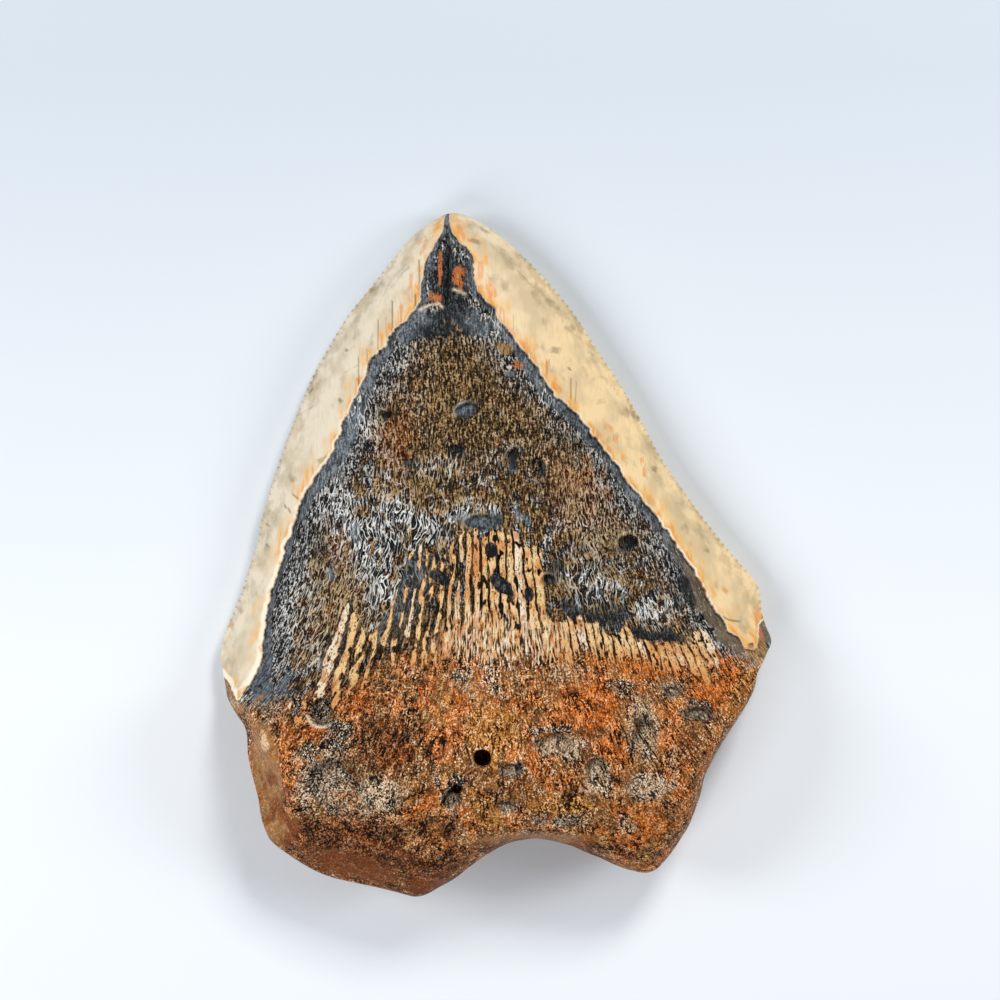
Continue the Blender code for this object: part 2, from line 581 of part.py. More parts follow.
def labial_mesh(form):
    outline, tree = form.outline, form.outline_tree
    kept = [outline]
    radii = np.where(round_the_root(outline), LABIAL_FLANK_RADIUS, LABIAL_EDGE_RADIUS)
    for ring in inset_rings(outline, tree, radii, FLANK_RINGS):
        kept.append(thinned(ring, np.vstack(kept), LABIAL_RING_GAP))
    kept.append(thinned(pit_ring_points(LABIAL_PITS), np.vstack(kept), LABIAL_PIT_GAP))
    kept.append(thinned(hexagonal(LABIAL_SPACING), np.vstack(kept), LATTICE_GAP_SHARE * LABIAL_SPACING))
    return triangles(outline, np.vstack(kept[1:]))


def add_face(mesh, outline, points, heights, corners, flip):
    """Adds one face of the tooth to a bmesh, in metres, and returns its vertices along the outline."""
    made = [mesh.verts.new((x * MM, y * MM, z * MM)) for (x, y), z in zip(points, heights)]
    for triangle in corners:
        mesh.faces.new([made[i] for i in (reversed(triangle) if flip else triangle)])
    tree = tree_of(points)
    return [made[tree.find((x, y, 0.0))[1]] for x, y in outline]


def add_edge_band(mesh, upper, lower):
    """The narrow blunt band that joins the two faces all round the outline."""
    for i in range(len(upper)):
        before = i - 1
        mesh.faces.new((upper[before], upper[i], lower[i], lower[before]))


def material(name):
    colour, roughness = COLOURS[name]
    made = bpy.data.materials.new(name)
    made.use_nodes = True
    shader = made.node_tree.nodes["Principled BSDF"]
    shader.inputs["Base Color"].default_value = colour
    shader.inputs["Roughness"].default_value = roughness
    shader.inputs["Metallic"].default_value = 0.0
    return made


def paint(mesh, form):
    """Gives each face the material of the tissue that shows there."""
    for name in COLOURS:
        mesh.materials.append(material(name))
    foot = spline(LABIAL_ENAMEL_FOOT, 0.5)
    middles = np.array([face.center[:2] for face in mesh.polygons]) / MM
    below = np.array([face.normal.z < 0 for face in mesh.polygons])
    labial_enamel = below & (middles[:, 1] > np.interp(middles[:, 0], foot[:, 0], foot[:, 1]))
    lingual_enamel = ~below & ~inside(form.bare_field, middles)
    on_root = below | (form.root_share(middles, 2.0) > 0.5)
    tissue = np.where(labial_enamel | lingual_enamel, 0, np.where(on_root, 2, 1))
    mesh.polygons.foreach_set("material_index", tissue.astype(np.int32))


def build_tooth():
    form = Form(outline_points())
    shape = bmesh.new()
    points, corners = lingual_mesh(form)
    upper = add_face(shape, form.outline, points, form.lingual(points), corners, flip=False)
    points, corners = labial_mesh(form)
    lower = add_face(shape, form.outline, points, form.labial(points), corners, flip=True)
    add_edge_band(shape, upper, lower)
    mesh = bpy.data.meshes.new("tooth")
    shape.to_mesh(mesh)
    shape.free()
    mesh.shade_smooth()
    mesh.set_sharp_from_angle(angle=math.radians(40))
    paint(mesh, form)
    tooth = bpy.data.objects.new("tooth", mesh)
    bpy.context.scene.collection.objects.link(tooth)
    return tooth


clear_scene()
build_tooth()
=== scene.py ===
# %% [markdown]
# # A fossil megalodon tooth
# The part is one tooth, lying on its flat face with the domed face up. Crown and root grew as one piece, so
# the scene has one piece too. It stands for the CAD node `tooth`, keeps that node's form and size, and adds
# what a plain solid leaves out: the grain, the ribs at the neck, the serrations, the cracks and the stains.
# Lengths below are millimetres, and `MM` turns them into Blender's metres.

# %% Load the imported model
import math
from types import SimpleNamespace

import bpy
import numpy as np
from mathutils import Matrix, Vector, noise
from mathutils.geometry import delaunay_2d_cdt
from mathutils.kdtree import KDTree


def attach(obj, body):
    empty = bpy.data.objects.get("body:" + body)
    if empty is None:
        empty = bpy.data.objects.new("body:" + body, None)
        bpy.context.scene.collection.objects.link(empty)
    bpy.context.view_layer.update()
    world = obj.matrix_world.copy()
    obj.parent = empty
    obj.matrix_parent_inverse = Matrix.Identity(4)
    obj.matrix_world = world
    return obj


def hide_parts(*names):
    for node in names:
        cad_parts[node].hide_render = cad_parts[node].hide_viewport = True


MM = 0.001
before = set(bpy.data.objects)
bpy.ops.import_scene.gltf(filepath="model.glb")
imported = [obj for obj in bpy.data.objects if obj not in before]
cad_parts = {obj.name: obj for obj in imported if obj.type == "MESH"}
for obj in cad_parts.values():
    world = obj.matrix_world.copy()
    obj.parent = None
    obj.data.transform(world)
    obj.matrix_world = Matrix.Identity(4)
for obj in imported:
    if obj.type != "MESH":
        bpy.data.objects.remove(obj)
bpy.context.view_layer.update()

# %% [markdown]
# ## Camera, floor and light
# The tooth is seen from straight above, a little way off, with its tip to the top of the picture. A long
# lens at 450 mm gives 7 pixels to a millimetre. The floor is a plain pale sheet with a painted light falloff:
# lighter below the tooth, darker beyond the tip. The key light stands beyond the tip and to the right, so
# that the broken enamel and the pits throw short shadows, and two soft boxes at the sides give the grain its
# small highlights.

# %% Camera
CAMERA_PLACE = (0.64, 7.47, 450.0)
SENSOR_WIDTH = 36.0
LENS = 111.9
NEAREST_SEEN = 10.0


def into_scene(name, data):
    made = bpy.data.objects.new(name, data)
    bpy.context.scene.collection.objects.link(made)
    return made


view = bpy.data.cameras.new("camera")
view.sensor_width = SENSOR_WIDTH
view.lens = LENS
view.clip_start = NEAREST_SEEN * MM
camera = into_scene("camera", view)
camera.location = Vector(CAMERA_PLACE) * MM
bpy.context.scene.camera = camera
bpy.context.scene.view_settings.view_transform = "Standard"
print("camera looks straight down from", CAMERA_PLACE[2], "mm")


# %% Helpers that add a node, a colour and a material
def put(kind, inputs=(), tree=None, **options):
    """Adds a node and fills its inputs. Without a tree it goes into the one that its inputs come from."""
    given = dict(inputs)
    if tree is None:
        tree = next(value.id_data for value in given.values() if isinstance(value, bpy.types.NodeSocket))
    made = tree.nodes.new(kind)
    for name, value in options.items():
        setattr(made, name, value)
    for place, value in given.items():
        if isinstance(value, bpy.types.NodeSocket):
            tree.links.new(value, made.inputs[place])
        else:
            made.inputs[place].default_value = value
    return made


def seen_as(red, green, blue):
    """A colour given as it looks on a screen, as the linear light that Blender's shaders use."""
    share = np.array([red, green, blue]) / 255.0
    linear = np.where(share <= 0.04045, share / 12.92, ((share + 0.055) / 1.055) ** 2.4)
    return (*linear.tolist(), 1.0)


def new_material(name):
    made = bpy.data.materials.new(name)
    made.use_nodes = True
    return made, made.node_tree, made.node_tree.nodes["Principled BSDF"]


# %% Floor
FLOOR_HALF = 1500.0
FLOOR_ROUGHNESS = 0.8
# Painted light falloff on the floor: lighter near the tooth's base, darker beyond its tip
LIT_NEAR_FLOOR, SHADED_FAR_FLOOR = seen_as(239, 243, 247), seen_as(206, 215, 224)
FADE_FROM, FADE_TO = -20.0, 70.0


def pale_sheet():
    half = FLOOR_HALF * MM
    mesh = bpy.data.meshes.new("floor")
    corners = [(-half, -half, 0), (half, -half, 0), (half, half, 0), (-half, half, 0)]
    mesh.from_pydata(corners, [], [(0, 1, 2, 3)])
    material, tree, shader = new_material("pale_sheet")
    place = put("ShaderNodeTexCoord", tree=tree).outputs["Object"]
    y = put("ShaderNodeSeparateXYZ", {0: place}).outputs["Y"]
    far = put("ShaderNodeMapRange", {"Value": y, "From Min": FADE_FROM * MM, "From Max": FADE_TO * MM})
    colour = put("ShaderNodeMix", {0: far.outputs[0], 6: LIT_NEAR_FLOOR, 7: SHADED_FAR_FLOOR}, data_type="RGBA")
    tree.links.new(colour.outputs[2], shader.inputs["Base Color"])
    shader.inputs["Roughness"].default_value = FLOOR_ROUGHNESS
    mesh.materials.append(material)
    return into_scene("floor", mesh)


floor = pale_sheet()
print("floor", 2 * FLOOR_HALF, "mm wide")

# %% Lights
# name, place, size, power in watts, colour
LAMPS = (
    ("key", (190.0, 400.0, 430.0), 150.0, 2.0, (1.0, 0.985, 0.96)),
    ("soft_box_left", (-430.0, 60.0, 300.0), 200.0, 1.2, (0.97, 0.985, 1.0)),
    ("soft_box_right", (430.0, 40.0, 280.0), 180.0, 0.8, (0.97, 0.985, 1.0)),
    ("fill_near", (-260.0, -380.0, 400.0), 300.0, 1.3, (0.98, 0.99, 1.0)),
)
ROOM_LIGHT = (0.80, 0.88, 1.0, 1.0)
ROOM_STRENGTH = 0.16


def hang_lamps():
    for name, place, size, power, colour in LAMPS:
        light = bpy.data.lights.new(name, "AREA")
        light.size = size * MM
        light.energy = power
        light.color = colour
        lamp = into_scene(name, light)
        lamp.location = Vector(place) * MM
        lamp.rotation_euler = (-Vector(place)).to_track_quat("-Z", "Y").to_euler()
    world = bpy.data.worlds.new("room")
    world.use_nodes = True
    background = world.node_tree.nodes["Background"]
    background.inputs["Color"].default_value = ROOM_LIGHT
    background.inputs["Strength"].default_value = ROOM_STRENGTH
    bpy.context.scene.world = world


hang_lamps()
print(len(LAMPS), "lamps")

# %% [markdown]
# ## The form
# The outline, the crest and the edge of the enamel are curves measured on the tooth. A sculptor would push
# clay until it matched. Here the two faces are heights above the table instead, worked out at any point of
# the plan, as the CAD does. That keeps the piece inside its solid, and lets the mesh be as fine as each spot
# needs.

# %% Main sizes
TOOTH_LENGTH = 97.5
TOOTH_WIDTH = 78.8
ROOT_THICKNESS = 21.4
EDGE_HEIGHT = 3.2
EDGE_THICKNESS = 0.45
ROOT_RIM_HEIGHT = 8.6
ENAMEL_THICKNESS = 0.9

# %% The outline, as stretches that run clockwise from the tip
RIGHT_CUTTING_EDGE = (
    (-5.5, 48.7), (-3.9, 48.2), (-2.2, 47.3), (0.6, 45.4), (3.5, 42.8), (6.4, 39.9), (9.6, 36.2),
    (12.1, 32.9), (14.6, 28.9), (17.5, 24.6), (20.8, 18.9), (23.8, 13.3), (27.8, 7.5), (32.1, 1.8),
    (34.5, -1.1), (36.9, -3.8), (37.8, -5.6), (38.2, -8.8),
)
RIGHT_SHOULDER = ((38.8, -10.8), (39.4, -12.7), (38.6, -14.4), (37.8, -16), (37.1, -17.3))
RIGHT_ROOT_SIDE = (
    (36.6, -19.5), (35.2, -22.2), (32.1, -27), (30.6, -29.6), (29.6, -31.8), (29.1, -34.1), (28.2, -36.7),
)
RIGHT_LOBE = (
    (27.4, -38.7), (26.3, -40.5), (25.2, -42.2), (24, -43.7), (22.8, -44.9), (21.4, -45.4), (19.5, -45.1),
)
BASE_ARCH = (
    (17.3, -44.4), (14.9, -43.3), (12.7, -42.4), (10.4, -41.4), (6.5, -40.5), (3.5, -40.7), (1.2, -41.4),
    (-1.4, -42.9), (-3.9, -44.7), (-5.8, -46.2),
)
LEFT_LOBE = (
    (-8.1, -47.5), (-9.9, -48.5), (-11.4, -48.8), (-13.1, -48.4), (-16.7, -47.5), (-20, -46.8), (-23, -46.1),
    (-25.6, -45.1), (-28.5, -43.4), (-31.4, -41.3),
)
LEFT_ROOT_SIDE = (
    (-32.4, -39.9), (-33.2, -37.6), (-33.6, -35), (-34.5, -31.5), (-35.1, -28.5), (-35.2, -26.3),
)
LEFT_SHOULDER = ((-35.6, -24.6), (-36.8, -23), (-38.2, -20.9), (-38.8, -18.6), (-39.2, -16.8))
LEFT_CUTTING_EDGE = (
    (-39.4, -14.5), (-38.9, -11.8), (-36.9, -7.2), (-35.2, -2.1), (-34, 1.8), (-33.5, 4.8), (-31.9, 10.1),
    (-30.2, 15.1), (-28.4, 19.9), (-26.1, 25.3), (-23.4, 30.2), (-20.9, 34.2), (-17.6, 38.3), (-14.6, 42.1),
    (-12.1, 45.1), (-9.4, 47.2), (-7.2, 48.5),
)

# %% Where the enamel has broken away from the domed face, from the tip down, and its foot on the flat face
ENAMEL_EDGE_LEFT = (
    (-7.1, 49.5), (-7.5, 46), (-8.4, 44.2), (-9.9, 41.5), (-10.3, 38.6), (-11.2, 34.6), (-14.2, 31.6),
    (-15.6, 29.3), (-17.4, 27.7), (-19.4, 22.5), (-21.8, 17.5), (-23.4, 13.6), (-25.3, 11), (-27.9, 6.5),
    (-29.2, 2.3), (-31.2, -3.5), (-32.6, -8.2), (-33, -13.2), (-34.1, -17.5), (-36.4, -20.8), (-37.6, -19.8),
    (-38.8, -18.4), (-41, -16.8),
)
ENAMEL_EDGE_RIGHT = (
    (-6.8, 49.5), (-6.5, 46.2), (-5.5, 44.5), (-3.6, 42.4), (-3, 38.2), (-1, 35.4), (0.9, 32.3), (2.6, 30.2),
    (6.3, 25.6), (8.1, 22.4), (11.2, 19.8), (15, 15), (19.7, 8.8), (23, 4.6), (24.7, 2.6), (28.1, -2.7),
    (29.4, -5.2), (32.6, -10.2), (36, -13.9), (37.6, -12.6), (37.9, -10.4), (41, -7),
)
LABIAL_ENAMEL_FOOT = (
    (-44, -19.5), (-38, -18.8), (-30, -17.2), (-18, -14.2), (-5, -12.4), (8, -12.8), (22, -14.8),
    (32, -15.6), (39, -14.2), (44, -13.8),
)

# %% The dome: heights of the crest along the length, and how the flanks round over
CREST = (
    (-50.0, 12.0), (-46.0, 13.6), (-41.0, 16.6), (-35.0, 19.8), (-29.0, ROOT_THICKNESS), (-23.0, 20.9),
    (-16, 18.6), (-8, 17.4), (2, 16.3), (14, 14.4), (26, 11.9), (36, 9.3), (43, 7.1), (47, 5.5), (48.4, 4.5),
    (50, 3.7),
)
CROWN_ROUNDNESS = 1.9
ROOT_FLANK_DROP = 8.2
ROOT_CREST_X = -1.0
ROOT_HALF_WIDTH = 36.0
ROOT_ROUNDNESS = 2.3
CROWN_ROOT_LINE = ((-39.4, -21.5), (39.4, -13.5))
SHOULDER_REACH = 4.5
NECK_REACH = 8.0
FLANK_RADIUS = ((-24, 5.2), (-12, 4.2), (2, 3), (16, 2.4), (40, 2.3))
LABIAL_FLANK_RADIUS = 6.5
WORN_WALL_X = -23.0
WORN_WALL_WIDTH = ((-44, 5.2), (-37, 5), (-30, 4.6), (-26, 2.3), (-20, 1.6))
WORN_WALL_BOTTOM_Y = -38.0
WORN_WALL_FADE = 3.0
LABIAL_BOW_ACROSS = 1.5
LABIAL_BOW_TO_TIP = 1.7
LABIAL_BOW_TO_BASE = 2.6
LABIAL_HALF_WIDTH = 36.0
LABIAL_ROUNDNESS = 2.4
LABIAL_TIP_REACH = 46.0
LABIAL_BASE_Y = -26.0
LABIAL_BASE_REACH = 22.0
LABIAL_EDGE_ROUNDNESS = 5
LABIAL_WEAR = 0.28
LUMP_SIZE = 5.5
LUMP_ROOT = 0.55
LUMP_DENTINE = 0.25

# %% The plate of inner layer left at the tip, its ledge and its crack
TIP_PLATE_LEDGE = (
    (-12.5, 34.4), (-11.2, 34.9), (-9.4, 35.4), (-7.6, 34.8), (-6.4, 36.2), (-5.5, 37), (-3.6, 36.4),
    (0, 36.6),
)
TIP_PLATE_RISE = 0.45
TIP_CRACK = ((-6.95, 49), (-6.9, 44), (-6.8, 40), (-7.1, 35.5))
TIP_CRACK_DEPTH = 0.8
TIP_CRACK_WALL = (0.6, 0.15)

# %% [markdown]
# ### Pits and lumps
# Blood vessels left openings in the root, and grit and wear left dishes and a few knobs elsewhere. Each is
# an oval of its own, with a wall and a floor. They could be cut with a Boolean, but a height that sinks
# inside an oval gives the same shape with no seams, and the mesh gets rings of points where the wall turns.

# %% Pits on the domed face: x, y, half width, half length, turn, depth, and how wide the floor is as a share
PITS = (
    (-1.8, -28.2, 1.3, 1.3, 0, 5, 0.8),
    (-5.3, -32.5, 0.9, 0.8, 0, 2.4, 0.6),
    (-5.9, -34.1, 1.6, 2, 15, 0.8, 0.4),
    (-24.2, -21.9, 1.8, 2, 0, 1.3, 0.6),
    (28.6, -22.6, 2.6, 1.25, -12, 0.9, 0.4),
    (8.2, -26.4, 2.9, 2.1, 0, 0.9, 0.4),
    (2.3, -29.8, 1.8, 1.2, 0, 0.45, 0.4),
    (14.1, -30.2, 1.8, 2.7, 0, 0.6, 0.4),
    (20.8, -25.8, 2.2, 4.4, 5, 0.5, 0.3),
    (24.8, -19.4, 1.5, 1, -10, 0.6, 0.4),
    (1.3, -35.2, 1.9, 1.2, 0, 0.5, 0.4),
    (-22.3, -31.7, 5, 4.4, 0, 0.6, 0.3),
    (-3.9, 20, 1.9, 1.3, 12, 0.6, 0.5),
    (2.5, 13.1, 1.2, 1.9, -8, 0.5, 0.5),
    (18.7, 1.2, 1.7, 1.6, 30, 0.7, 0.5),
    (7.4, -4.1, 1.4, 1.3, 0, 0.5, 0.5),
    (-12.7, -2.7, 1.4, 1, 25, 0.5, 0.5),
    (-17.9, 15.1, 0.9, 1, 0, 0.4, 0.5),
    (-1.8, 4.4, 2.6, 1.2, 0, 0.6, 0.4),
)
# Smaller ones that the CAD leaves out. A depth below zero is a knob
SMALL_PITS = (
    (-15.5, 19.3, 1.4, 0.6, 40, 0.35, 0.4),
    (13.1, -1.6, 0.8, 0.9, 0, 0.45, 0.5),
    (15, 5.8, 0.8, 0.9, 0, 0.35, 0.5),
    (5.8, 12.4, 0.8, 1.3, 0, 0.4, 0.5),
    (-5.6, 14.6, 1.2, 0.8, 0, 0.25, 0.4),
    (-12.1, 10.9, 0.9, 0.8, 0, 0.3, 0.4),
    (28.9, -9.4, 0.8, 0.6, 20, 0.5, 0.5),
    (-33.6, -19.3, 0.9, 0.7, 30, 0.4, 0.5),
    (34.9, -19.2, 0.7, 0.6, 0, 0.4, 0.5),
    (36.3, -13.2, 0.45, 0.4, 0, 0.4, 0.5),
    (7.9, -27.8, 0.35, 0.35, 0, 0.5, 0.5),
    (-23, -2.3, 0.8, 0.7, 0, -0.35, 0.2),
    (-28.6, -7.6, 0.9, 0.7, 0, -0.3, 0.2),
    (1.1, 29, 0.9, 1.1, 35, -0.35, 0.2),
    (2.7, 26.6, 1.1, 0.8, -25, -0.3, 0.2),
    (-3.4, 34.3, 1.3, 0.7, 10, -0.3, 0.3),
)
# Painted highlights on broken edges: on the ledge of the tip's plate, and under the pit at the neck
LIT_LIPS = (
    ((-10.85, 34.45), (-9.55, 35.05), (-8.2, 35.25), (-7.5, 34.8)), ((-6, 37.3), (-5.2, 37.1), (-4.3, 36.7)),
    ((-26.3, -22.6), (-25.6, -23.7), (-24.3, -24.2), (-23, -23.8)),
)
LIT_LIP_WIDTH = 0.16
# A thin painted highlight on the upper left rim of the crown's own pits: where it lies as a share of the
# oval, how wide, and how strong
LIP_SHARE = 1.08
LIP_WIDTH = 0.07
LIP_STRENGTH = 0.4
LIPPED_PITS = tuple(pit for pit in PITS if pit[1] > -8.0 and pit[5] > 0.35)
LABIAL_PITS = (
    (-14, -30, 1.6, 2.2, 25, 1, 0.5),
    (1.5, -33.5, 1.2, 1.2, 0, 1.4, 0.6),
    (17.5, -29, 1.9, 1.4, -20, 1, 0.5),
)
print(len(PITS) + len(SMALL_PITS) + len(LABIAL_PITS), "pits and knobs")


# %% Helpers for curves and smooth steps
LINE_SAMPLE_STEP = 0.12


def smoothstep(low, high, value):
    share = np.clip((value - low) / (high - low), 0.0, 1.0)
    return share * share * (3.0 - 2.0 * share)


def blend(first, second, share):
    return first + (second - first) * share


def bell(value):
    return np.exp(-(value**2))


def walked_along(line):
    """How far each point is from the first, along the line."""
    return np.concatenate([[0.0], np.cumsum(np.linalg.norm(np.diff(line, axis=0), axis=1))])


def spline(points, step, closed=False):
    """Points at an even step along a Catmull-Rom curve through the given ones."""
    given = np.array(points, float)
    if closed:
        given = np.vstack([given[-1], given, given[:2]])
    else:
        given = np.vstack([2 * given[0] - given[1], given, 2 * given[-1] - given[-2]])
    share = np.linspace(0.0, 1.0, 12, endpoint=False)[:, None]
    pieces = []
    for a, b, c, d in zip(given[:-3], given[1:-2], given[2:-1], given[3:]):
        bend = (2 * a - 5 * b + 4 * c - d) * share**2 + (3 * b - a - 3 * c + d) * share**3
        pieces.append(0.5 * (2 * b + (c - a) * share + bend))
    pieces.append(given[-2:-1])
    curve = np.vstack(pieces)
    run = walked_along(curve)
    count = max(2, round(run[-1] / step))
    marks = np.linspace(0.0, run[-1], count + 1)[: count if closed else count + 1]
    return np.stack([np.interp(marks, run, curve[:, axis]) for axis in (0, 1)], axis=1)


def along(table, value):
    """Reads a smooth curve through a table of (place, amount)."""
    curve = spline(table, 0.25)
    return np.interp(value, curve[:, 0], curve[:, 1])


def stepped(table, value):
    """Reads straight lines through a table of (place, amount)."""
    return np.interp(value, *zip(*table))


# %% Helpers for distances in the plan
def tree_of(line):
    tree = KDTree(len(line))
    for index, (x, y) in enumerate(line):
        tree.insert((x, y, 0.0), index)
    tree.balance()
    return tree


def nearest(tree, points):
    """Distance to the nearest sample of a line, and which one it is."""
    found = [tree.find((x, y, 0.0)) for x, y in points]
    return np.array([hit[2] for hit in found]), np.array([hit[1] for hit in found])


def gap_to(tree, points):
    return nearest(tree, points)[0]


def inside(polygon, points):
    """True for each point inside the polygon, by counting the sides above it."""
    found = np.zeros(len(points), bool)
    x, y = points[:, 0], points[:, 1]
    for (x0, y0), (x1, y1) in zip(polygon, np.roll(polygon, -1, axis=0)):
        crosses = (x0 > x) != (x1 > x)
        if crosses.any():
            found ^= crosses & (y < (y1 - y0) * (x - x0) / (x1 - x0 + 1e-12) + y0)
    return found


def sideways(line, closed=False):
    """Unit normals of a line, on the left as one walks along it."""
    if closed:
        run = np.roll(line, -1, axis=0) - np.roll(line, 1, axis=0)
    else:
        run = np.gradient(line, axis=0)
    normal = np.stack([-run[:, 1], run[:, 0]], axis=1)
    return normal / np.linalg.norm(normal, axis=1, keepdims=True)


def wander(points, size, layer):
    """Smooth noise between about -1 and 1 at each point of the plan."""
    return np.array([noise.noise((x / size, y / size, layer)) for x, y in points])


# %% [markdown]
# ### Outline and broken enamel
# The cutting edges stay fine, because the serrations are pushed out of them later. The enamel broke like
# slate, in small steps and splinters along its fibres, so its edge gets a jagged offset on top of the
# measured curve.

# %% Outline
CUTTING_EDGE_STEP = 0.24
ROOT_OUTLINE_STEP = 0.42

right_edge = spline(RIGHT_CUTTING_EDGE, CUTTING_EDGE_STEP)
root_edge = spline(
    RIGHT_CUTTING_EDGE[-1:] + RIGHT_SHOULDER + RIGHT_ROOT_SIDE + RIGHT_LOBE + BASE_ARCH + LEFT_LOBE
    + LEFT_ROOT_SIDE + LEFT_SHOULDER + LEFT_CUTTING_EDGE[:1],
    ROOT_OUTLINE_STEP,
)
left_edge = spline(LEFT_CUTTING_EDGE, CUTTING_EDGE_STEP)
outline = np.vstack([right_edge, root_edge[1:-1], left_edge])
corner_tree = tree_of(outline)
fine_outline = spline(outline, LINE_SAMPLE_STEP, closed=True)
outline_tree = tree_of(fine_outline)
print(len(outline), "points round the outline")

# %% Jagged enamel edges
JAG_SIZE = 1.3
JAG_REACH = 0.42
SPLINTER_SIZE = 0.38
SPLINTER_REACH = 0.2
# The splinters are small near the tip: how large there, and between which heights they grow
JAG_AT_TIP = 0.25
JAG_FADE_Y = (46.5, 42.0)


def jagged(line, layer):
    curve = spline(line, LINE_SAMPLE_STEP)
    push = JAG_REACH * wander(curve, JAG_SIZE, layer)
    push += SPLINTER_REACH * wander(curve, SPLINTER_SIZE, layer + 5)
    push *= blend(JAG_AT_TIP, 1.0, smoothstep(*JAG_FADE_Y, curve[:, 1]))
    return curve + sideways(curve) * push[:, None]


enamel_left = jagged(ENAMEL_EDGE_LEFT, 2.3)
enamel_right = jagged(ENAMEL_EDGE_RIGHT, 6.1)
enamel_tree = tree_of(np.vstack([enamel_left, enamel_right]))
# A way round below the tooth closes the bare field
ROUND_BELOW = ((44, -7), (60, -60), (-60, -60), (-44, -16.8))
bare_field = np.vstack([enamel_right, ROUND_BELOW, enamel_left[::-1]])
print(len(enamel_left) + len(enamel_right), "samples along the broken enamel")


# %% How far out from the crest a point is, and how far it is on the root
LEAST_HALF_WIDTH = 0.5
TOUCHING = 1e-4


def by_height(edge):
    return edge[np.argsort(edge[:, 1])]


arch_top = int(np.argmin(np.hypot(*(outline - BASE_ARCH[4]).T)))
left_side = by_height(outline[arch_top:])
right_side = by_height(outline[:arch_top])


def across(points):
    """-1 at the left outline, 0 on the crest, 1 at the right outline."""
    left = np.interp(points[:, 1], left_side[:, 1], left_side[:, 0])
    right = np.interp(points[:, 1], right_side[:, 1], right_side[:, 0])
    half_width = np.maximum((right - left) / 2, LEAST_HALF_WIDTH)
    return np.clip((points[:, 0] - (left + right) / 2) / half_width, -1.0, 1.0)


def root_share(points, reach):
    """0 on the crown, 1 on the root."""
    return smoothstep(-reach, reach, stepped(CROWN_ROOT_LINE, points[:, 0]) - points[:, 1])


def rim(points, side):
    """Height of the edge. Side is 1 for its upper lip and -1 for its lower one."""
    return blend(EDGE_HEIGHT, ROOT_RIM_HEIGHT, root_share(points, SHOULDER_REACH)) + side * EDGE_THICKNESS / 2


def on_outline(points):
    return gap_to(corner_tree, points) < TOUCHING


def into_enamel(points):
    """Distance into the enamel from its broken edge: positive on enamel, negative where it has gone."""
    return np.where(inside(bare_field, points), -1.0, 1.0) * gap_to(enamel_tree, points)


# %% [markdown]
# ### The two faces
# The domed face is the crown's ridge and the root's dome, blended at the neck. The enamel stands on it as a
# layer 0.9 mm thick with a bevelled broken edge, wide on the left and narrow on the right.

# %% Pit shapes
# How dark the painted shade in a pit gets: on its wall, and on the upper part of its floor
WALL_SHADE = 0.6
FLOOR_SHADE = 0.35


def turned(dx, dy, degrees):
    """Steps along x and y, turned against the clock."""
    cos, sin = math.cos(math.radians(degrees)), math.sin(math.radians(degrees))
    return dx * cos - dy * sin, dx * sin + dy * cos


def in_pit(pit, points):
    """Distance from a pit's middle as a share of its oval, 1 at the lip."""
    x, y, half_width, half_length, turn = pit[:5]
    dx, dy = turned(points[:, 0] - x, points[:, 1] - y, -turn)
    return np.hypot(dx / half_width, dy / half_length)


def lit_lip_side(pit, points):
    """A thin painted highlight on the upper left rim of a pit, where a soft box is reflected."""
    x, y, half_width, half_length = pit[:4]
    facing = (x - points[:, 0] + points[:, 1] - y) / (math.sqrt(2.0) * math.hypot(half_width, half_length))
    return bell((in_pit(pit, points) - LIP_SHARE) / LIP_WIDTH) * np.clip(1.6 * facing, 0.0, 1.0)


def lip_highlights(points):
    strength = LIP_STRENGTH * np.max([lit_lip_side(pit, points) for pit in LIPPED_PITS], axis=0)
    for line in LIT_LIPS:
        strength = np.maximum(strength, bell(gap_to(tree_of(spline(line, 0.05)), points) / LIT_LIP_WIDTH))
    return strength


def sunk(pit, points):
    depth, floor_share = pit[5:]
    return depth * smoothstep(1.0, floor_share, in_pit(pit, points))


def pit_wall_shade(pit, points):
    """Painted shade in a pit, darkest on its upper side, which faces away from the key light beyond the tip.
    """
    inner = smoothstep(1.0, pit[6], in_pit(pit, points))
    upper = smoothstep(-0.7, 0.5, (points[:, 1] - pit[1]) / pit[3])
    return 4.0 * inner * (1.0 - inner) * blend(0.25, 1.0, upper) * WALL_SHADE + FLOOR_SHADE * inner * upper


# %% The dome without its enamel
def on_worn_side(points):
    return smoothstep(WORN_WALL_X + WORN_WALL_FADE, WORN_WALL_X - WORN_WALL_FADE, points[:, 0])


def flank_radius(points):
    x, y = points[:, 0], points[:, 1]
    return blend(along(FLANK_RADIUS, x), along(WORN_WALL_WIDTH, y), on_worn_side(points))


def rounded(gap, radius):
    """How far a flank has risen, 0 at the outline to 1 where it meets the face, as a quarter circle."""
    share = 1.0 - np.clip(gap / radius, 0.0, 1.0)
    return np.sqrt(1.0 - share * share)


def worn_wall(points):
    bottom, fade = WORN_WALL_BOTTOM_Y, WORN_WALL_FADE
    return on_worn_side(points) * smoothstep(bottom - fade, bottom + fade, points[:, 1])


def bare_dome(points, gap):
    crest = along(CREST, points[:, 1])
    edge = rim(points, 1)
    crown = crest - (crest - edge) * np.abs(across(points)) ** CROWN_ROUNDNESS
    dome = crest - ROOT_FLANK_DROP * (np.abs(points[:, 0] - ROOT_CREST_X) / ROOT_HALF_WIDTH) ** ROOT_ROUNDNESS
    radius = flank_radius(points)
    rise = blend(rounded(gap, radius), np.clip(gap / radius, 0.0, 1.0), worn_wall(points))
    return blend(crown, edge + (dome - edge) * rise, root_share(points, NECK_REACH))


# %% The domed face
# The enamel's broken step, its height there as a share, and how far in from the outline it is full
BROKEN_STEP = (-0.07, 0.1)
BEVEL_FOOT = 0.5
ENAMEL_THINNING = 3.0
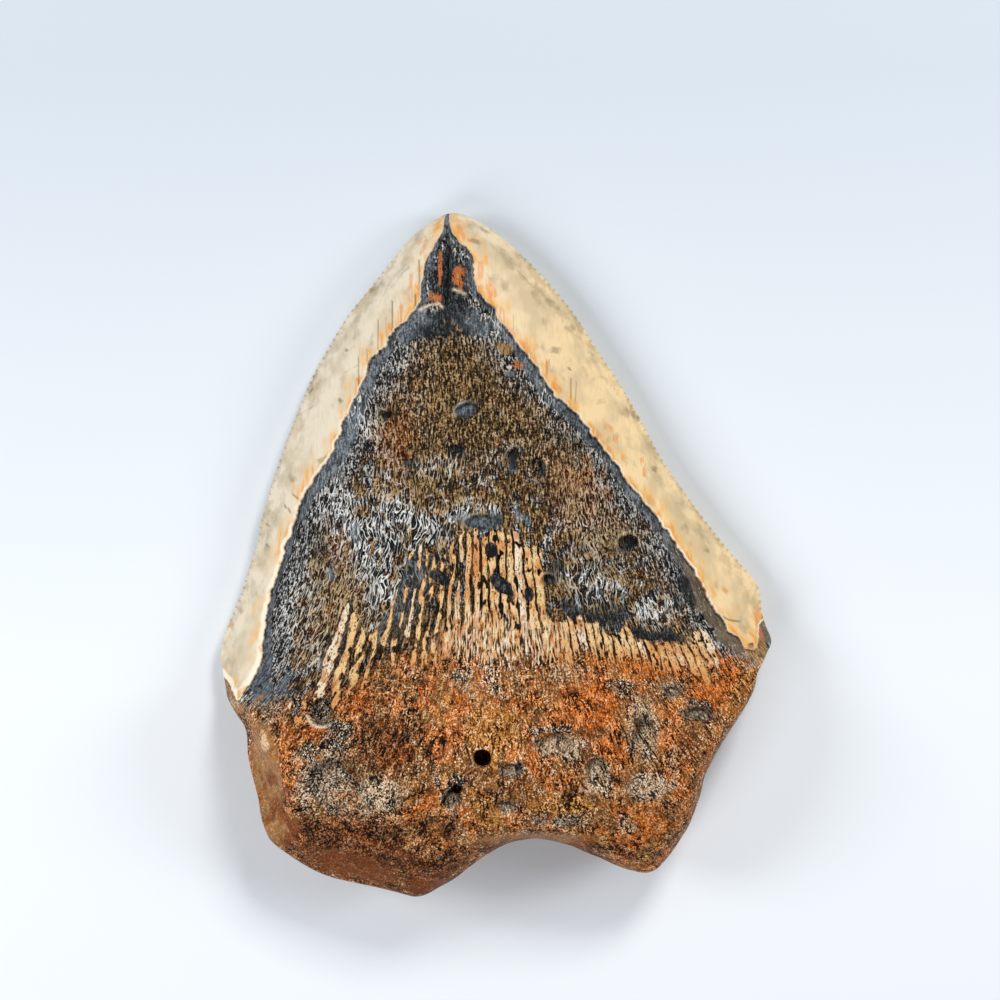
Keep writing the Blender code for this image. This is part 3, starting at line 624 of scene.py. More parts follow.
# The line that parts the left side from the right one, from the tip down, and the bevel's width on each
TIP = (-7.0, 48.0)
MIDDLE_LEAN = 0.12
BEVEL_LEFT = ((-20, 1.1), (0, 0.75), (20, 0.42), (35, 0.3), (49, 0.2))
BEVEL_RIGHT = ((-15, 0.15), (-11, 0.3), (-6, 0.45), (20, 0.32), (49, 0.2))
plate_ledge = spline(TIP_PLATE_LEDGE, LINE_SAMPLE_STEP)
crack_tree = tree_of(spline(TIP_CRACK, LINE_SAMPLE_STEP))


def by_side(points, left_table, right_table):
    """Reads one table left of the line from the tip down to the root, and the other right of it."""
    x, y = points[:, 0], points[:, 1]
    on_left = x < TIP[0] + MIDDLE_LEAN * (TIP[1] - y)
    return np.where(on_left, stepped(left_table, y), stepped(right_table, y))


def bevel_width(points):
    return by_side(points, BEVEL_LEFT, BEVEL_RIGHT)


def on_plate(points, enamel):
    above = points[:, 1] - np.interp(points[:, 0], *plate_ledge.T)
    return smoothstep(0.0, 0.4, above) * smoothstep(0.1, -0.1, enamel)


def domed_face(points, gap, enamel):
    height = bare_dome(points, gap)
    bevel = blend(BEVEL_FOOT, 1.0, smoothstep(0.0, 1.0, enamel / bevel_width(points)))
    layer = smoothstep(*BROKEN_STEP, enamel) * bevel
    height += ENAMEL_THICKNESS * layer * smoothstep(0.0, ENAMEL_THINNING, gap)
    height += TIP_PLATE_RISE * on_plate(points, enamel)
    crack = smoothstep(*TIP_CRACK_WALL, gap_to(crack_tree, points))
    height -= TIP_CRACK_DEPTH * crack * smoothstep(0.0, 1.0, gap)
    swelling = blend(LUMP_DENTINE, LUMP_ROOT, root_share(points, NECK_REACH)) * wander(points, LUMP_SIZE, 3.1)
    height += swelling * smoothstep(0.0, -1.5, enamel) * smoothstep(0.0, 2.0, gap)
    for pit in PITS + SMALL_PITS:
        height -= sunk(pit, points)
    return np.where(on_outline(points), rim(points, 1), height)


# %% The flat face
def flat_face(points, gap):
    x, y = points[:, 0], points[:, 1]
    edge = rim(points, -1)
    bow = LABIAL_BOW_ACROSS * (np.abs(x) / LABIAL_HALF_WIDTH) ** LABIAL_ROUNDNESS
    bow += LABIAL_BOW_TO_TIP * (np.clip(y, 0.0, None) / LABIAL_TIP_REACH) ** 2
    bow += LABIAL_BOW_TO_BASE * (np.clip(LABIAL_BASE_Y - y, 0.0, None) / LABIAL_BASE_REACH) ** 2
    swelling = 0.5 * LUMP_ROOT * wander(points, LUMP_SIZE, 8.7) * root_share(points, NECK_REACH)
    bow = np.maximum(bow - LABIAL_WEAR + swelling * smoothstep(0.3, 1.2, bow), 0.0)
    crown = bow + np.maximum(edge - bow, 0.0) * np.abs(across(points)) ** LABIAL_EDGE_ROUNDNESS
    root = edge - (edge - bow) * rounded(gap, LABIAL_FLANK_RADIUS)
    height = blend(crown, root, root_share(points, NECK_REACH))
    for pit in LABIAL_PITS:
        height += sunk(pit, points)
    return np.where(on_outline(points), edge, height)


# %% [markdown]
# ### Marks on the enamel
# The enamel has hairline cracks, scratches and small stains. They are crisp, so the mesh gets close points
# along each one, and a value at those points says how strong the mark is. The material reads that value.

# %% Marks: start, end, half width, strength
OLIVE_MARKS = (
    (-3.7, 44.6, -2.5, 44.2, 0.36, 0.9), (-17.8, 37.4, -16.6, 38.6, 0.3, 0.6),
    (-28.1, 19.7, -25.9, 20.9, 0.2, 0.5), (-21.5, 25.6, -19.6, 26.6, 0.14, 0.3),
    (-29.2, 10.9, -28.8, 10.3, 0.5, 0.85), (-0.4, 39.1, 0.2, 39.1, 0.5, 0.4),
    (3.2, 40.2, 4.9, 38.3, 0.18, 0.4), (6.5, 37.7, 7.1, 37.3, 0.3, 0.6), (7.5, 35.9, 8.8, 35.1, 0.6, 0.6),
    (9.9, 32.6, 10.9, 32, 0.6, 0.55), (7.8, 28.9, 8.8, 28.7, 0.5, 0.85), (14.4, 21.4, 15.5, 21.6, 0.4, 0.45),
    (16.4, 23.9, 17, 23.4, 0.22, 0.7), (19.2, 20.4, 20.6, 19.4, 0.7, 0.8),
    (18.3, 19.9, 18.9, 19.5, 0.5, 0.6), (22.6, 12, 22.9, 11.8, 0.4, 1), (-2, 46.4, -1, 46.1, 0.4, 0.6),
    (36.1, -13.2, 36.5, -13.1, 0.35, 0.9), (16, 15.9, 17.4, 16.7, 0.45, 0.4),
    (30.1, 0.3, 30.3, 0.1, 0.3, 0.7), (-25, 13, -23.8, 13.6, 0.35, 0.8),
)
DARK_MARKS = (
    (-14.7, 35.7, -14.6, 31.2, 0.13, 0.9), (-16.7, 32.9, -16.7, 28.8, 0.1, 0.7),
    (-10.9, 41.5, -10.7, 35.9, 0.15, 0.8), (-11.4, 36.6, -11.3, 34.2, 0.14, 0.9),
    (-21.35, 28.9, -21.2, 28.8, 0.2, 0.8), (-22.2, 21.8, -22, 21.5, 0.28, 0.9),
    (-19.5, 27.7, -19.4, 23.8, 0.12, 0.7), (-18.3, 28.9, -18, 24.8, 0.09, 0.5),
    (-26.7, 22.9, -26.2, 23.4, 0.12, 0.8), (10.7, 24.6, 10.7, 22, 0.12, 0.7),
    (11.5, 24.1, 11.3, 21.4, 0.1, 0.6), (10.4, 26.2, 10.6, 26, 0.18, 0.8), (-28.8, 8.2, -27.3, 7, 0.14, 0.8),
    (-30.1, 6.7, -29.9, 6.4, 0.16, 0.8), (-29.5, 6.2, -29.3, 5.8, 0.16, 0.8),
    (-32.8, 4, -32.6, 3.8, 0.2, 0.7), (-32.8, 1.1, -32.6, 0.9, 0.2, 0.7),
    (32.3, -9.1, 33.2, -9.6, 0.14, 0.9), (33.2, -9.6, 34.5, -9.8, 0.14, 0.9),
    (38.4, -9.2, 38.2, -12.5, 0.22, 0.9), (7.6, 27.4, 7.7, 26.5, 0.1, 0.5),
    (-13.4, 39.8, -12.4, 40.6, 0.08, 0.4), (-15.6, 33.4, -15.5, 30.6, 0.07, 0.4),
    (2.6, 33.6, 2.5, 31.6, 0.08, 0.4),
)
ORANGE_MARKS = (
    (-0.8, 37.9, -0.5, 36.6, 0.7, 0.9), (-2.1, 41.2, -2.2, 39.2, 0.5, 0.7), (0.8, 34.2, 1, 32.6, 0.5, 0.6),
    (4.2, 29.6, 4.6, 28.4, 0.45, 0.6), (5.2, 27.9, 5.5, 26.6, 0.5, 0.8), (7.3, 27.1, 7.3, 24.8, 0.22, 1),
    (8.3, 23.7, 9, 23, 0.5, 0.8), (13.6, 17.7, 14.7, 16.5, 0.5, 0.7), (15.1, 15.6, 16.2, 14.4, 0.45, 0.7),
    (18.6, 10.3, 19.6, 8.9, 0.6, 0.7), (21.7, 7.9, 22.3, 7.1, 0.5, 0.5), (20.9, 13.2, 21.2, 11, 0.28, 0.9),
    (15.7, 17.9, 16.4, 17.5, 0.5, 0.6), (16.6, 16.6, 17.4, 16, 0.5, 0.6),
    (27.2, -0.1, 27.8, -2.2, 0.28, 0.9), (29.6, -5.1, 30.1, -6.9, 0.3, 0.8),
    (32.5, -5.2, 32.9, -5.6, 0.35, 0.8), (37.4, -8.2, 37.7, -11.2, 0.5, 0.9),
    (-19.6, 24.6, -19.8, 20.3, 0.32, 0.8), (-21, 19.6, -21.2, 17.1, 0.3, 0.7),
    (-22, 16.7, -22.4, 14.6, 0.3, 0.7), (-27.3, 8.7, -27.1, 8.5, 0.3, 0.9),
    (-12, 39.6, -12.1, 35.8, 0.3, 0.6), (-13.4, 35, -13.6, 32.2, 0.35, 0.8),
    (-15, 32.4, -15.2, 29.9, 0.35, 0.8), (-9.8, 44.6, -10.6, 42.6, 0.3, 0.7),
    (-5.3, 46.6, -4.4, 44.6, 0.35, 0.7), (-37.3, -19.4, -35.2, -20.4, 0.3, 0.8),
    (-35.2, -20.4, -33.2, -17.2, 0.28, 0.8), (-34.7, 1.1, -34.5, 0.9, 0.3, 0.9),
    (-35.4, -1.8, -35.2, -2, 0.3, 0.8), (-37.1, -6.4, -36.9, -6.6, 0.3, 0.8),
    (-38.1, -10.3, -37.9, -10.5, 0.35, 0.8), (38.3, -13, 38.8, -13.4, 0.5, 0.8),
)
MARKS = {"olive": OLIVE_MARKS, "dark": DARK_MARKS, "orange": ORANGE_MARKS}
print(sum(len(marks) for marks in MARKS.values()), "marks on the enamel")


# %% How strong a set of marks is at each point
MARK_OUTSIDE, MARK_CORE = 1.25, 0.55


def marked(points, marks):
    strength = np.zeros(len(points))
    for x0, y0, x1, y1, half_width, strongest in marks:
        run = np.array([x1 - x0, y1 - y0])
        share = np.clip(((points - (x0, y0)) @ run) / (run @ run), 0.0, 1.0)
        gap = np.linalg.norm(points - (x0, y0) - share[:, None] * run, axis=1)
        faded = smoothstep(MARK_OUTSIDE * half_width, MARK_CORE * half_width, gap)
        strength = np.maximum(strength, strongest * faded)
    return strength


def mark_points(marks, step):
    """Rows of points along each mark and just beside it."""
    rows = []
    for x0, y0, x1, y1, half_width, _ in marks:
        length = math.hypot(x1 - x0, y1 - y0)
        line = np.linspace((x0, y0), (x1, y1), max(2, round(length / step) + 1))
        normal = np.array([y0 - y1, x1 - x0]) / length
        for offset in MARK_ROWS:
            rows.append(line + normal * offset * half_width)
    return np.vstack(rows)


# %% [markdown]
# ### Meshing the faces
# Each face is one sheet of triangles over the plan. Points are laid in order of importance: the outline,
# rings that follow the rounded flanks, the broken enamel, the pits, the marks, and last a plain lattice. A
# point that would crowd an earlier one is dropped. Blender's own Delaunay function joins them. A subdivided
# cage would be quicker to set up, but it would waste points on the smooth enamel and have too few in the
# grain.

# %% Rings of points
FINE_SPACING = 0.29
ENAMEL_SPACING = 0.46
LABIAL_SPACING = 0.66
ENAMEL_ROWS = (-0.6, -0.34, -0.16, -0.04, 0.08, 0.24, 0.5, 0.85, 1.25)
ENAMEL_ROW_STEP = 0.25
FLANK_RINGS = 18
LABIAL_FLANK_RINGS = 12
CROWN_RINGS = (0.2, 0.45, 0.75, 1.1)
CORNER_SHARE = 0.95
CROWN_RADIUS = 1.5
LABIAL_CROWN_RADIUS = 2.4
OVAL_RINGS = 6
OVAL_OUTER_SHARE = 1.04
OVAL_LEAST_POINTS = 10
MARK_ROWS = (-1.25, -0.6, 0.0, 0.6, 1.25)
LEDGE_ROWS = (0.0, 0.2, 0.4)
CRACK_ROWS = (-0.6, -0.35, -0.12, 0.12, 0.35, 0.6)
LATTICE_ROW_SHARE = 0.866
# How close a new point may lie to those already there
FLANK_GAP, CROWN_GAP, ENAMEL_GAP, PIT_GAP, MARK_GAP = 0.07, 0.17, 0.08, 0.12, 0.05
LABIAL_FLANK_GAP, LABIAL_PIT_GAP = 0.3, 0.2
LATTICE_GAP_SHARE = 0.62


def inset_rings(line, radii, shares):
    """Copies of the outline moved in by shares of a radius, less the points that would cross in a corner."""
    normal = sideways(line, closed=True)
    rings = []
    for share in shares:
        depth = radii * share
        ring = line - normal * depth[:, None]
        rings.append(ring[gap_to(outline_tree, ring) > CORNER_SHARE * depth])
    return rings


def oval_rings(pits, spacing):
    rings = []
    for x, y, half_width, half_length, turn, _, floor_share in pits:
        for share in np.linspace(OVAL_OUTER_SHARE, floor_share, OVAL_RINGS):
            way_round = math.tau * share * math.sqrt(half_width * half_length)
            count = max(OVAL_LEAST_POINTS, round(way_round / spacing))
            turns = np.arange(count) * math.tau / count
            dx, dy = turned(share * half_width * np.cos(turns), share * half_length * np.sin(turns), turn)
            rings.append(np.stack([x + dx, y + dy], axis=1))
    return np.vstack(rings)


def lattice(spacing):
    """Points on a triangular lattice over the tooth's rectangle."""
    rows = []
    for row in range(int(TOOTH_LENGTH / (spacing * LATTICE_ROW_SHARE)) + 2):
        xs = np.arange(-TOOTH_WIDTH / 2, TOOTH_WIDTH / 2, spacing) + (spacing / 2 if row % 2 else 0.0)
        y = -TOOTH_LENGTH / 2 + row * spacing * LATTICE_ROW_SHARE
        rows.append(np.stack([xs, np.full(len(xs), y)], axis=1))
    return np.vstack(rows)


class Cloud:
    """Points of one face. Each new group gives way to those already there."""

    def __init__(self):
        self.groups = [outline]

    def add(self, points, least):
        tree = tree_of(np.vstack(self.groups))
        self.groups.append(points[gap_to(tree, points) > least])

    def fill(self, points, spacing):
        self.add(points, LATTICE_GAP_SHARE * spacing)

    def triangles(self):
        inner = np.vstack(self.groups[1:])
        inner = inner[inside(outline, inner)]
        every = [Vector(point) for point in np.vstack([outline, inner])]
        made = delaunay_2d_cdt(every, [], [list(range(len(outline)))], 1, 1e-5)
        return np.array([tuple(point) for point in made[0]]), np.array([tuple(face) for face in made[2]])


# %% The domed face's points
SHOULDER_RISE = 6.0


def below_shoulders(points):
    return points[:, 1] < stepped(CROWN_ROOT_LINE, points[:, 0]) + SHOULDER_RISE


def flank_shares(count):
    """Shares of a radius at even turns round a quarter circle."""
    return 1.0 - np.cos(np.linspace(0.0, math.pi / 2, count + 1)[1:])


def domed_cloud():
    cloud = Cloud()
    radii = np.where(below_shoulders(outline), flank_radius(outline), CROWN_RADIUS)
    for ring in inset_rings(outline, radii, flank_shares(FLANK_RINGS)):
        cloud.add(ring[below_shoulders(ring)], FLANK_GAP)
    for depth in CROWN_RINGS:
        cloud.add(inset_rings(outline, np.full(len(outline), depth), (1.0,))[0], CROWN_GAP)
    for line in (enamel_left, enamel_right):
        walk = line[:: round(ENAMEL_ROW_STEP / LINE_SAMPLE_STEP)]
        for offset in ENAMEL_ROWS:
            row = walk + sideways(walk) * (offset if line is enamel_right else -offset)
            cloud.add(row, ENAMEL_GAP)
    cloud.add(oval_rings(PITS + SMALL_PITS, 0.3), PIT_GAP)
    cloud.add(mark_points(sum(MARKS.values(), ()), 0.25), MARK_GAP)
    for offset in LEDGE_ROWS:
        cloud.add(spline(TIP_PLATE_LEDGE, 0.25) + (0.0, offset), PIT_GAP)
    for offset in CRACK_ROWS:
        cloud.add(spline(TIP_CRACK, 0.3) + (offset, 0.0), PIT_GAP)
    bare = lattice(FINE_SPACING)
    cloud.fill(bare[inside(bare_field, bare)], FINE_SPACING)
    cloud.fill(lattice(ENAMEL_SPACING), ENAMEL_SPACING)
    return cloud.triangles()


domed_points, domed_triangles = domed_cloud()
print("domed face:", len(domed_points), "points,", len(domed_triangles), "triangles")


# %% The flat face's points
def flat_cloud():
    cloud = Cloud()
    radii = np.where(below_shoulders(outline), LABIAL_FLANK_RADIUS, LABIAL_CROWN_RADIUS)
    for ring in inset_rings(outline, radii, flank_shares(LABIAL_FLANK_RINGS)):
        cloud.add(ring, LABIAL_FLANK_GAP)
    cloud.add(oval_rings(LABIAL_PITS, 0.4), LABIAL_PIT_GAP)
    cloud.fill(lattice(LABIAL_SPACING), LABIAL_SPACING)
    return cloud.triangles()


flat_points, flat_triangles = flat_cloud()
print("flat face:", len(flat_points), "points,", len(flat_triangles), "triangles")

# %% [markdown]
# ### What each point knows
# The material has to know where it is: how far into the enamel, how far down the root, on which rib. It
# could find out with many texture nodes, but the form's own functions know it exactly. So each point carries
# named values, and the material and the Geometry Nodes read them by name. Patches of colour are soft ovals
# with a strength. The material makes their edges ragged with noise.

# %% The ribbed band at the neck
RIB_TOP = (
    (-29, -22), (-27.2, -19), (-25.4, -18), (-24.4, -12.6), (-23, -12.4), (-21.4, -8.6), (-20, -6.5),
    (-18.6, -10), (-17.2, -11), (-15.6, -8), (-14, -5.5), (-13.3, -3), (-11.8, 0.6), (-9.8, 0.9),
    (-7.3, 0.6), (-5.6, 2), (-3.5, 3.2), (-0.3, 3.5), (3.3, 2.1), (6.4, 1.8), (6.9, -7.4), (9, -8.6),
    (13.5, -9), (17.2, -11.4), (18.5, -9), (19.3, -11.6), (21.7, -10.2), (23.8, -11.3), (25.9, -12.9),
    (28.2, -11), (31.4, -13),
)
RIB_FOOT = (
    (-29, -22.6), (-24, -20.4), (-21.5, -19.2), (-17.5, -16.6), (-13, -14.4), (-6, -13.6), (1, -13.9),
    (9, -13.2), (15, -13.4), (22, -14.6), (31.5, -16.6),
)
RIB_FAN = (-2.0, 60.0)
RIB_PITCH_Y = -13.0
RIB_MARGIN = 30.0
RIB_TABLE_STEPS = 600
# How far apart the ribs are across the tooth, and how much of each step is crest
RIB_PITCHES = ((-30, 2), (-20, 1.8), (-13, 1.5), (-6, 1.3), (-2, 1.45), (9, 1.4), (11, 1.15), (32, 1.25))
RIB_CREST_SHARES = (
    (-30, 0.4), (-22.5, 0.62), (-18.5, 0.6), (-16, 0.44), (-12, 0.42), (-6, 0.5), (-1, 0.72), (8, 0.8),
    (32, 0.82),
)
# Where the root's rusty surface begins
ROOT_LINE = (
    (-40, -22), (-35, -21.5), (-30, -20.5), (-26, -19.5), (-21.5, -19.2), (-17.5, -16), (-13, -13.6),
    (-6, -12.6), (1, -13.4), (15, -14), (22, -13.4), (28, -13.4), (34, -14.6), (40, -16),
)


def rib_place(points):
    """Where a point's rib crosses the line that the pitches are given on."""
    return RIB_FAN[0] + (points[:, 0] - RIB_FAN[0]) * (RIB_FAN[1] - RIB_PITCH_Y) / (RIB_FAN[1] - points[:, 1])


def rib_turn(points):
    """Which rib a point is on: whole numbers on the ribs, halves in the grooves."""
    first, last = RIB_PITCHES[0][0], RIB_PITCHES[-1][0]
    marks = np.linspace(first - RIB_MARGIN, last + RIB_MARGIN, RIB_TABLE_STEPS)
    turns = np.cumsum((marks[1] - marks[0]) / stepped(RIB_PITCHES, marks))
    return np.interp(rib_place(points), marks, turns)


# %% Patches of colour: x, y, half width, half length, turn, strength
PATCHES = {
    "rust": (
        (13.1, -20.9, 4.2, 5.2, 0, 0.9), (31, -18.5, 3.4, 4.4, -30, 1), (23, -15.8, 5.2, 1.4, -5, 0.9),
        (15.7, -26.7, 2.4, 1.6, 10, 1), (-24.6, -24.8, 3.4, 1.5, -10, 1.1), (-27.2, -22, 1.2, 2.6, 0, 1),
        (-28.9, -25.2, 1.6, 2.6, 20, 0.9), (-19.4, -20.6, 3, 2.4, 20, 0.9), (-11.5, -36, 3.2, 3.2, 0, 0.6),
        (-21, -39.4, 4, 1.8, 0, 0.6), (20, -38.6, 6, 3.6, 20, 0.7), (-9, -19.5, 5, 4, 0, 0.55),
        (3, -20.5, 5, 3.6, 0, 0.45), (-14, 15.5, 4, 6, 12, 0.8), (-21.5, 2, 3, 7, 8, 0.7),
        (11.1, 8.9, 5.5, 7, 25, 0.75), (-23, -10, 1.8, 4, 0, 0.5), (26.5, -27.5, 3, 4.2, -20, 0.5),
        (-31, -41, 3, 2.6, 40, 0.4), (-26, -11.5, 1.4, 2.6, 10, 0.7), (8, -31.5, 5, 2.4, 0, 0.5),
    ),
    "gold": (
        (-2.7, -1.4, 0.8, 3.4, 3, 1.1), (10, -12.8, 1.6, 0.8, 0, 0.8), (24.6, -13.6, 3, 1, -10, 0.9),
        (-5.2, 38.9, 1.15, 2.2, 0, 0.85), (-8.6, 36.1, 1.1, 1.2, 15, 0.8), (-7.9, 40.2, 0.36, 3.2, 0, 0.9),
        (37.6, -12.2, 0.8, 1.8, 0, 1), (-0.7, -24.6, 3.8, 4.4, 0, 0.9), (9, -34.9, 4.8, 1.7, 0, 1),
        (-1.1, -36.2, 2.6, 2.4, 0, 0.8), (-7.7, -20.2, 1.8, 2.4, 0, 0.6), (34.9, -19.6, 1.4, 4.6, -32, 1),
        (4, -31.8, 3, 1.6, 0, 0.6), (2.7, 26.6, 1.2, 0.8, -25, 0.7), (22, -42, 4, 2, 30, 0.5),
        (-6, 12.5, 3, 2, 0, 0.35), (28.4, -14.2, 2.4, 0.9, -10, 0.7),
    ),
    "pale": (
        (-23.7, -31.8, 4.8, 5, 0, 1), (-16.5, -33.4, 5, 3, 0, 0.9), (8.9, -26.5, 3.8, 2.2, 0, 1),
        (14, -30.8, 2, 3, 0, 1), (21.5, -32.4, 4.4, 2.2, 0, 0.95), (20.8, -24.8, 2.9, 5, 5, 0.85),
        (25, -29, 3, 3.6, 0, 0.5), (-1.5, -17, 4.6, 4.4, 0, 0.7), (10.2, -16.6, 3.4, 2.2, 0, 0.6),
        (-12.5, -15.6, 4, 2, 0, 0.45), (18.2, -37.7, 1.9, 1.4, 0, 0.8), (36.3, -12.9, 1.2, 2.2, 10, 1.1),
        (37.6, -14.2, 1.3, 3.2, 20, 1.2), (-37.6, -19.6, 1.2, 2.4, 20, 1), (27.4, -12.6, 1.6, 2.2, 0, 0.5),
        (1.3, 28.9, 1.5, 1, -40, 0.8), (-27.5, -38, 4, 1, -50, 0.3), (-32.4, -26.4, 0.6, 1.3, 10, 1.3),
    ),
    # Dark patches: partly a dark stain, partly painted shade over pits, cracks and recesses
    "soot": (
        (13.8, -7.6, 5.8, 2.6, -10, 0.92), (22.5, -11.4, 4.4, 1.4, -12, 0.9), (8.6, -2.4, 1.3, 1.6, 0, 1),
        (12.6, 0.6, 0.8, 0.8, 0, 1), (-6.5, 37.5, 3.4, 6.6, 0, 0.95), (-7.5, 31.6, 6, 1.6, 0, 0.7),
        (-11.4, 12.6, 1.3, 1, 0, 0.9), (-5.5, 14.3, 1.7, 1, 0, 0.9), (6.5, 11.9, 0.8, 1.5, 0, 0.9),
        (-7.5, 2.9, 1.7, 1.7, 0, 0.9), (-8.3, 5.2, 0.6, 0.6, 0, 1), (-12.2, -2.9, 0.9, 0.7, 30, 1.1),
        (-0.6, 0.4, 0.9, 1.2, 0, 1.1), (-7.2, -3.8, 0.9, 0.8, 0, 1.1), (-13.5, 0.8, 1.2, 0.8, 0, 1),
        (0.9, -4.5, 2.6, 1, -40, 1.1), (4.8, -5.6, 0.8, 1.2, 0, 1), (-24.2, -21.5, 1.5, 1.3, 0, 1.4),
        (-22, -25.3, 2.6, 2, 0, 1), (-25.6, -27.7, 2.2, 1.7, 0, 0.8), (-4.8, -16.5, 2.2, 1.4, 0, 0.6),
        (17.2, -18.6, 3.2, 1.8, 0, 0.6), (29, -15.8, 3.4, 1.6, -20, 0.55), (8, -24.3, 3.2, 0.6, 4, 1),
        (-9.5, -31, 3.4, 2.6, 0, 0.55), (28.4, -20.9, 2.6, 0.6, -12, 0.9), (-5.4, -31.6, 1.4, 1.4, 0, 1),
        (-1.8, 3.6, 3.2, 0.8, 0, 0.5), (2.5, 13.1, 1.1, 1.8, 0, 0.8), (-17.9, 15.1, 1, 1, 0, 0.8),
        (-15.5, 19.3, 1.5, 0.7, 40, 0.7), (18.7, 1.2, 1.4, 1.3, 30, 0.8), (7.4, -3.7, 1.3, 1.1, 0, 0.8),
        (-27.6, -20.5, 1.6, 3.6, 8, 0.7), (26.5, -5.5, 4.4, 3.2, -40, 0.6), (-6.75, 39.5, 0.45, 4.6, 0, 1.4),
        (-20.5, -30, 1.4, 4.6, -10, 0.4), (-3.4, 47, 0.4, 2, 0, 0.5), (-8.2, -3, 1.4, 1, 0, 0.9),
    ),
    "slate": (
        (3.7, 5, 2, 1.1, 0, 0.8), (-23.4, -2.9, 0.9, 1, 0, 0.9), (-19.9, 2.9, 0.9, 1.7, 0, 0.9),
        (2.6, 12.6, 1.1, 1.8, 0, 0.9), (-24.2, -23.2, 1.5, 0.6, 0, 1.2), (2.4, -29.9, 1.9, 1.2, 0, 1),
        (1.7, -35.2, 1.4, 1.1, 0, 1), (28.1, -22.2, 2.6, 1.2, -12, 1), (24.4, -19, 1.8, 1.3, -10, 0.9),
        (9, -37.1, 4.6, 1.2, 0, 0.8), (-6, -34.4, 1.8, 2, 15, 0.8), (-3.9, 20, 1.8, 1.2, 12, 1),
        (-33.5, -15.5, 2, 9, 8, 1), (-30.5, -19.5, 2.6, 3.6, 20, 0.7), (30.6, -8.6, 1.6, 6.8, 35, 1),
        (-1.8, 4.5, 3.4, 1.3, 0, 1.1), (-9.3, 41.6, 0.9, 3.2, -6, 0.9), (-3.9, 39.6, 0.6, 3.2, 4, 1),
        (-6, 44.6, 1, 1.6, 0, 0.7), (-12, 32, 4.8, 2, 30, 1), (-3, 32.6, 4.4, 1.8, -20, 1),
        (2.3, 25.2, 1.4, 0.6, -25, 0.9),
    ),
    # Deep brown: the dentine's own colour on the crown; on the root's base and lower left partly painted
    # shade
    "umber": (
        (-5, 21.4, 7, 9.5, 0, 0.8), (-13.3, 17.2, 4, 6, 15, 0.7), (-9, 29, 5, 3.4, 0, 0.5),
        (11.1, 10.9, 5.5, 8, 30, 0.7), (4, 19, 4, 5, 20, 0.7), (-24, 0.5, 3.4, 4.2, 20, 0.35),
        (17, 2.4, 6, 3.4, 10, 0.6), (-22.5, -8.5, 5, 6.4, 0, 0.8), (25, -10.5, 3.6, 2.6, 0, 0.5),
        (-20, -41.6, 12, 5, -14, 1), (-9, -45.4, 7, 3.8, 10, 0.9), (-15, -26, 6, 6, 0, 0.7),
        (6, -41.5, 14, 1.8, 0, 0.8), (-31, -34, 3, 6, 10, 0.6), (-8, -38.5, 5, 3, 20, 0.6),
    ),
    # Painted sheen: where the soft boxes are reflected, bright lines over the dentine turn white
    "silver": (
        (-15.4, -0.2, 5.5, 9.5, 0, 1), (-21.5, 5, 3, 5, 10, 0.9), (-9.5, 3.5, 4, 3, 0, 0.8),
        (22.3, -8.2, 3, 2.4, 0, 1), (13.6, -4, 5.4, 3.8, -20, 0.62), (-18.5, 19, 2, 6, 35, 0.7),
        (-8, 12, 4, 2, 10, 0.7), (-3, 6.5, 5, 1.6, 0, 0.5),
        (1, 34, 2, 2.4, 30, 0.6), (8.5, 24, 1.4, 6, -35, 0.5), (13, 6, 4, 8, 20, 0.55),
        (-25, -8.5, 4.4, 6.4, 0, 0.85),
    ),
    "smooth": (
        (-32.2, -31.5, 2.4, 7.5, 4, 1.2), (-30.5, -39, 3.6, 3, 30, 0.9), (-20, -44, 12, 3, -12, 0.72),
        (-10, -46.8, 5, 2, 12, 0.7), (5, -40, 14, 1.3, 0, 0.8), (-37.1, -20.7, 1.6, 2.6, 30, 1),
        (37, -15.3, 1.2, 1.6, 30, 0.9), (30.6, -8.6, 1.8, 6.8, 35, 0.9), (-33.5, -15.5, 1.8, 9, 8, 0.7),
        (35, -21, 1, 4, -32, 0.5),
    ),
}
# A patch's strength on its middle, before it is held at 1, and how much it falls to its rim
PATCH_CORE, PATCH_FALL = 1.35, 0.85


def patched(points, patches):
    strength = np.zeros(len(points))
    for patch in patches:
        here = np.clip(PATCH_CORE - PATCH_FALL * in_pit(patch, points), 0.0, 1.0)
        strength = np.maximum(strength, patch[5] * here)
    return strength


print(sum(len(patches) for patches in PATCHES.values()), "patches of colour")

# %% The smooth blue-grey band beside the broken enamel
# Its width down each side, its strength, and where it starts above the root
SLATE_LEFT = (
    (-22, 1.6), (-12, 0.8), (-4, 0.5), (5, 0.9), (11, 1.7), (18, 1.9), (26, 1.3), (31, 0.8), (45, 0.45),
)
SLATE_RIGHT = ((-15, 1.5), (-6, 1.3), (4, 1), (15, 1.2), (24, 1.5), (33, 0.9), (45, 0.4))
SLATE_STRENGTH = 1.2
SLATE_START_Y = (-17.0, -13.0)


def slate_band(points, enamel):
    full = np.clip(1.6 + enamel / by_side(points, SLATE_LEFT, SLATE_RIGHT), 0.0, 1.0)
    return SLATE_STRENGTH * full * smoothstep(*SLATE_START_Y, points[:, 1])


# %% Fibres
# The growth lines fan out from tip to base, faster on the root. This map turns them straight, and keeps
# square things square: it is the sum of a turning and stretching factor along the way from the middle.
FIBRE_FAN = 0.010
FIBRE_SPREAD = 0.0006
FIBRE_MIDDLE = (-1.0, -5.0)
FIBRE_STEPS = 24
# Where the fibres swirl round knots, and how much they do elsewhere
SWIRL_SIZE = 2.6
SWIRL_ELSEWHERE = 0.15
SWIRLS = (
    (-14, -1, 8, 9, 0, 1), (15, -3, 8, 7, 30, 0.7), (-22, -8, 6, 7, 0, 0.6), (0, -30, 28, 10, 0, 0.5),
    (-4, 8, 8, 4, 0, 0.5),
)


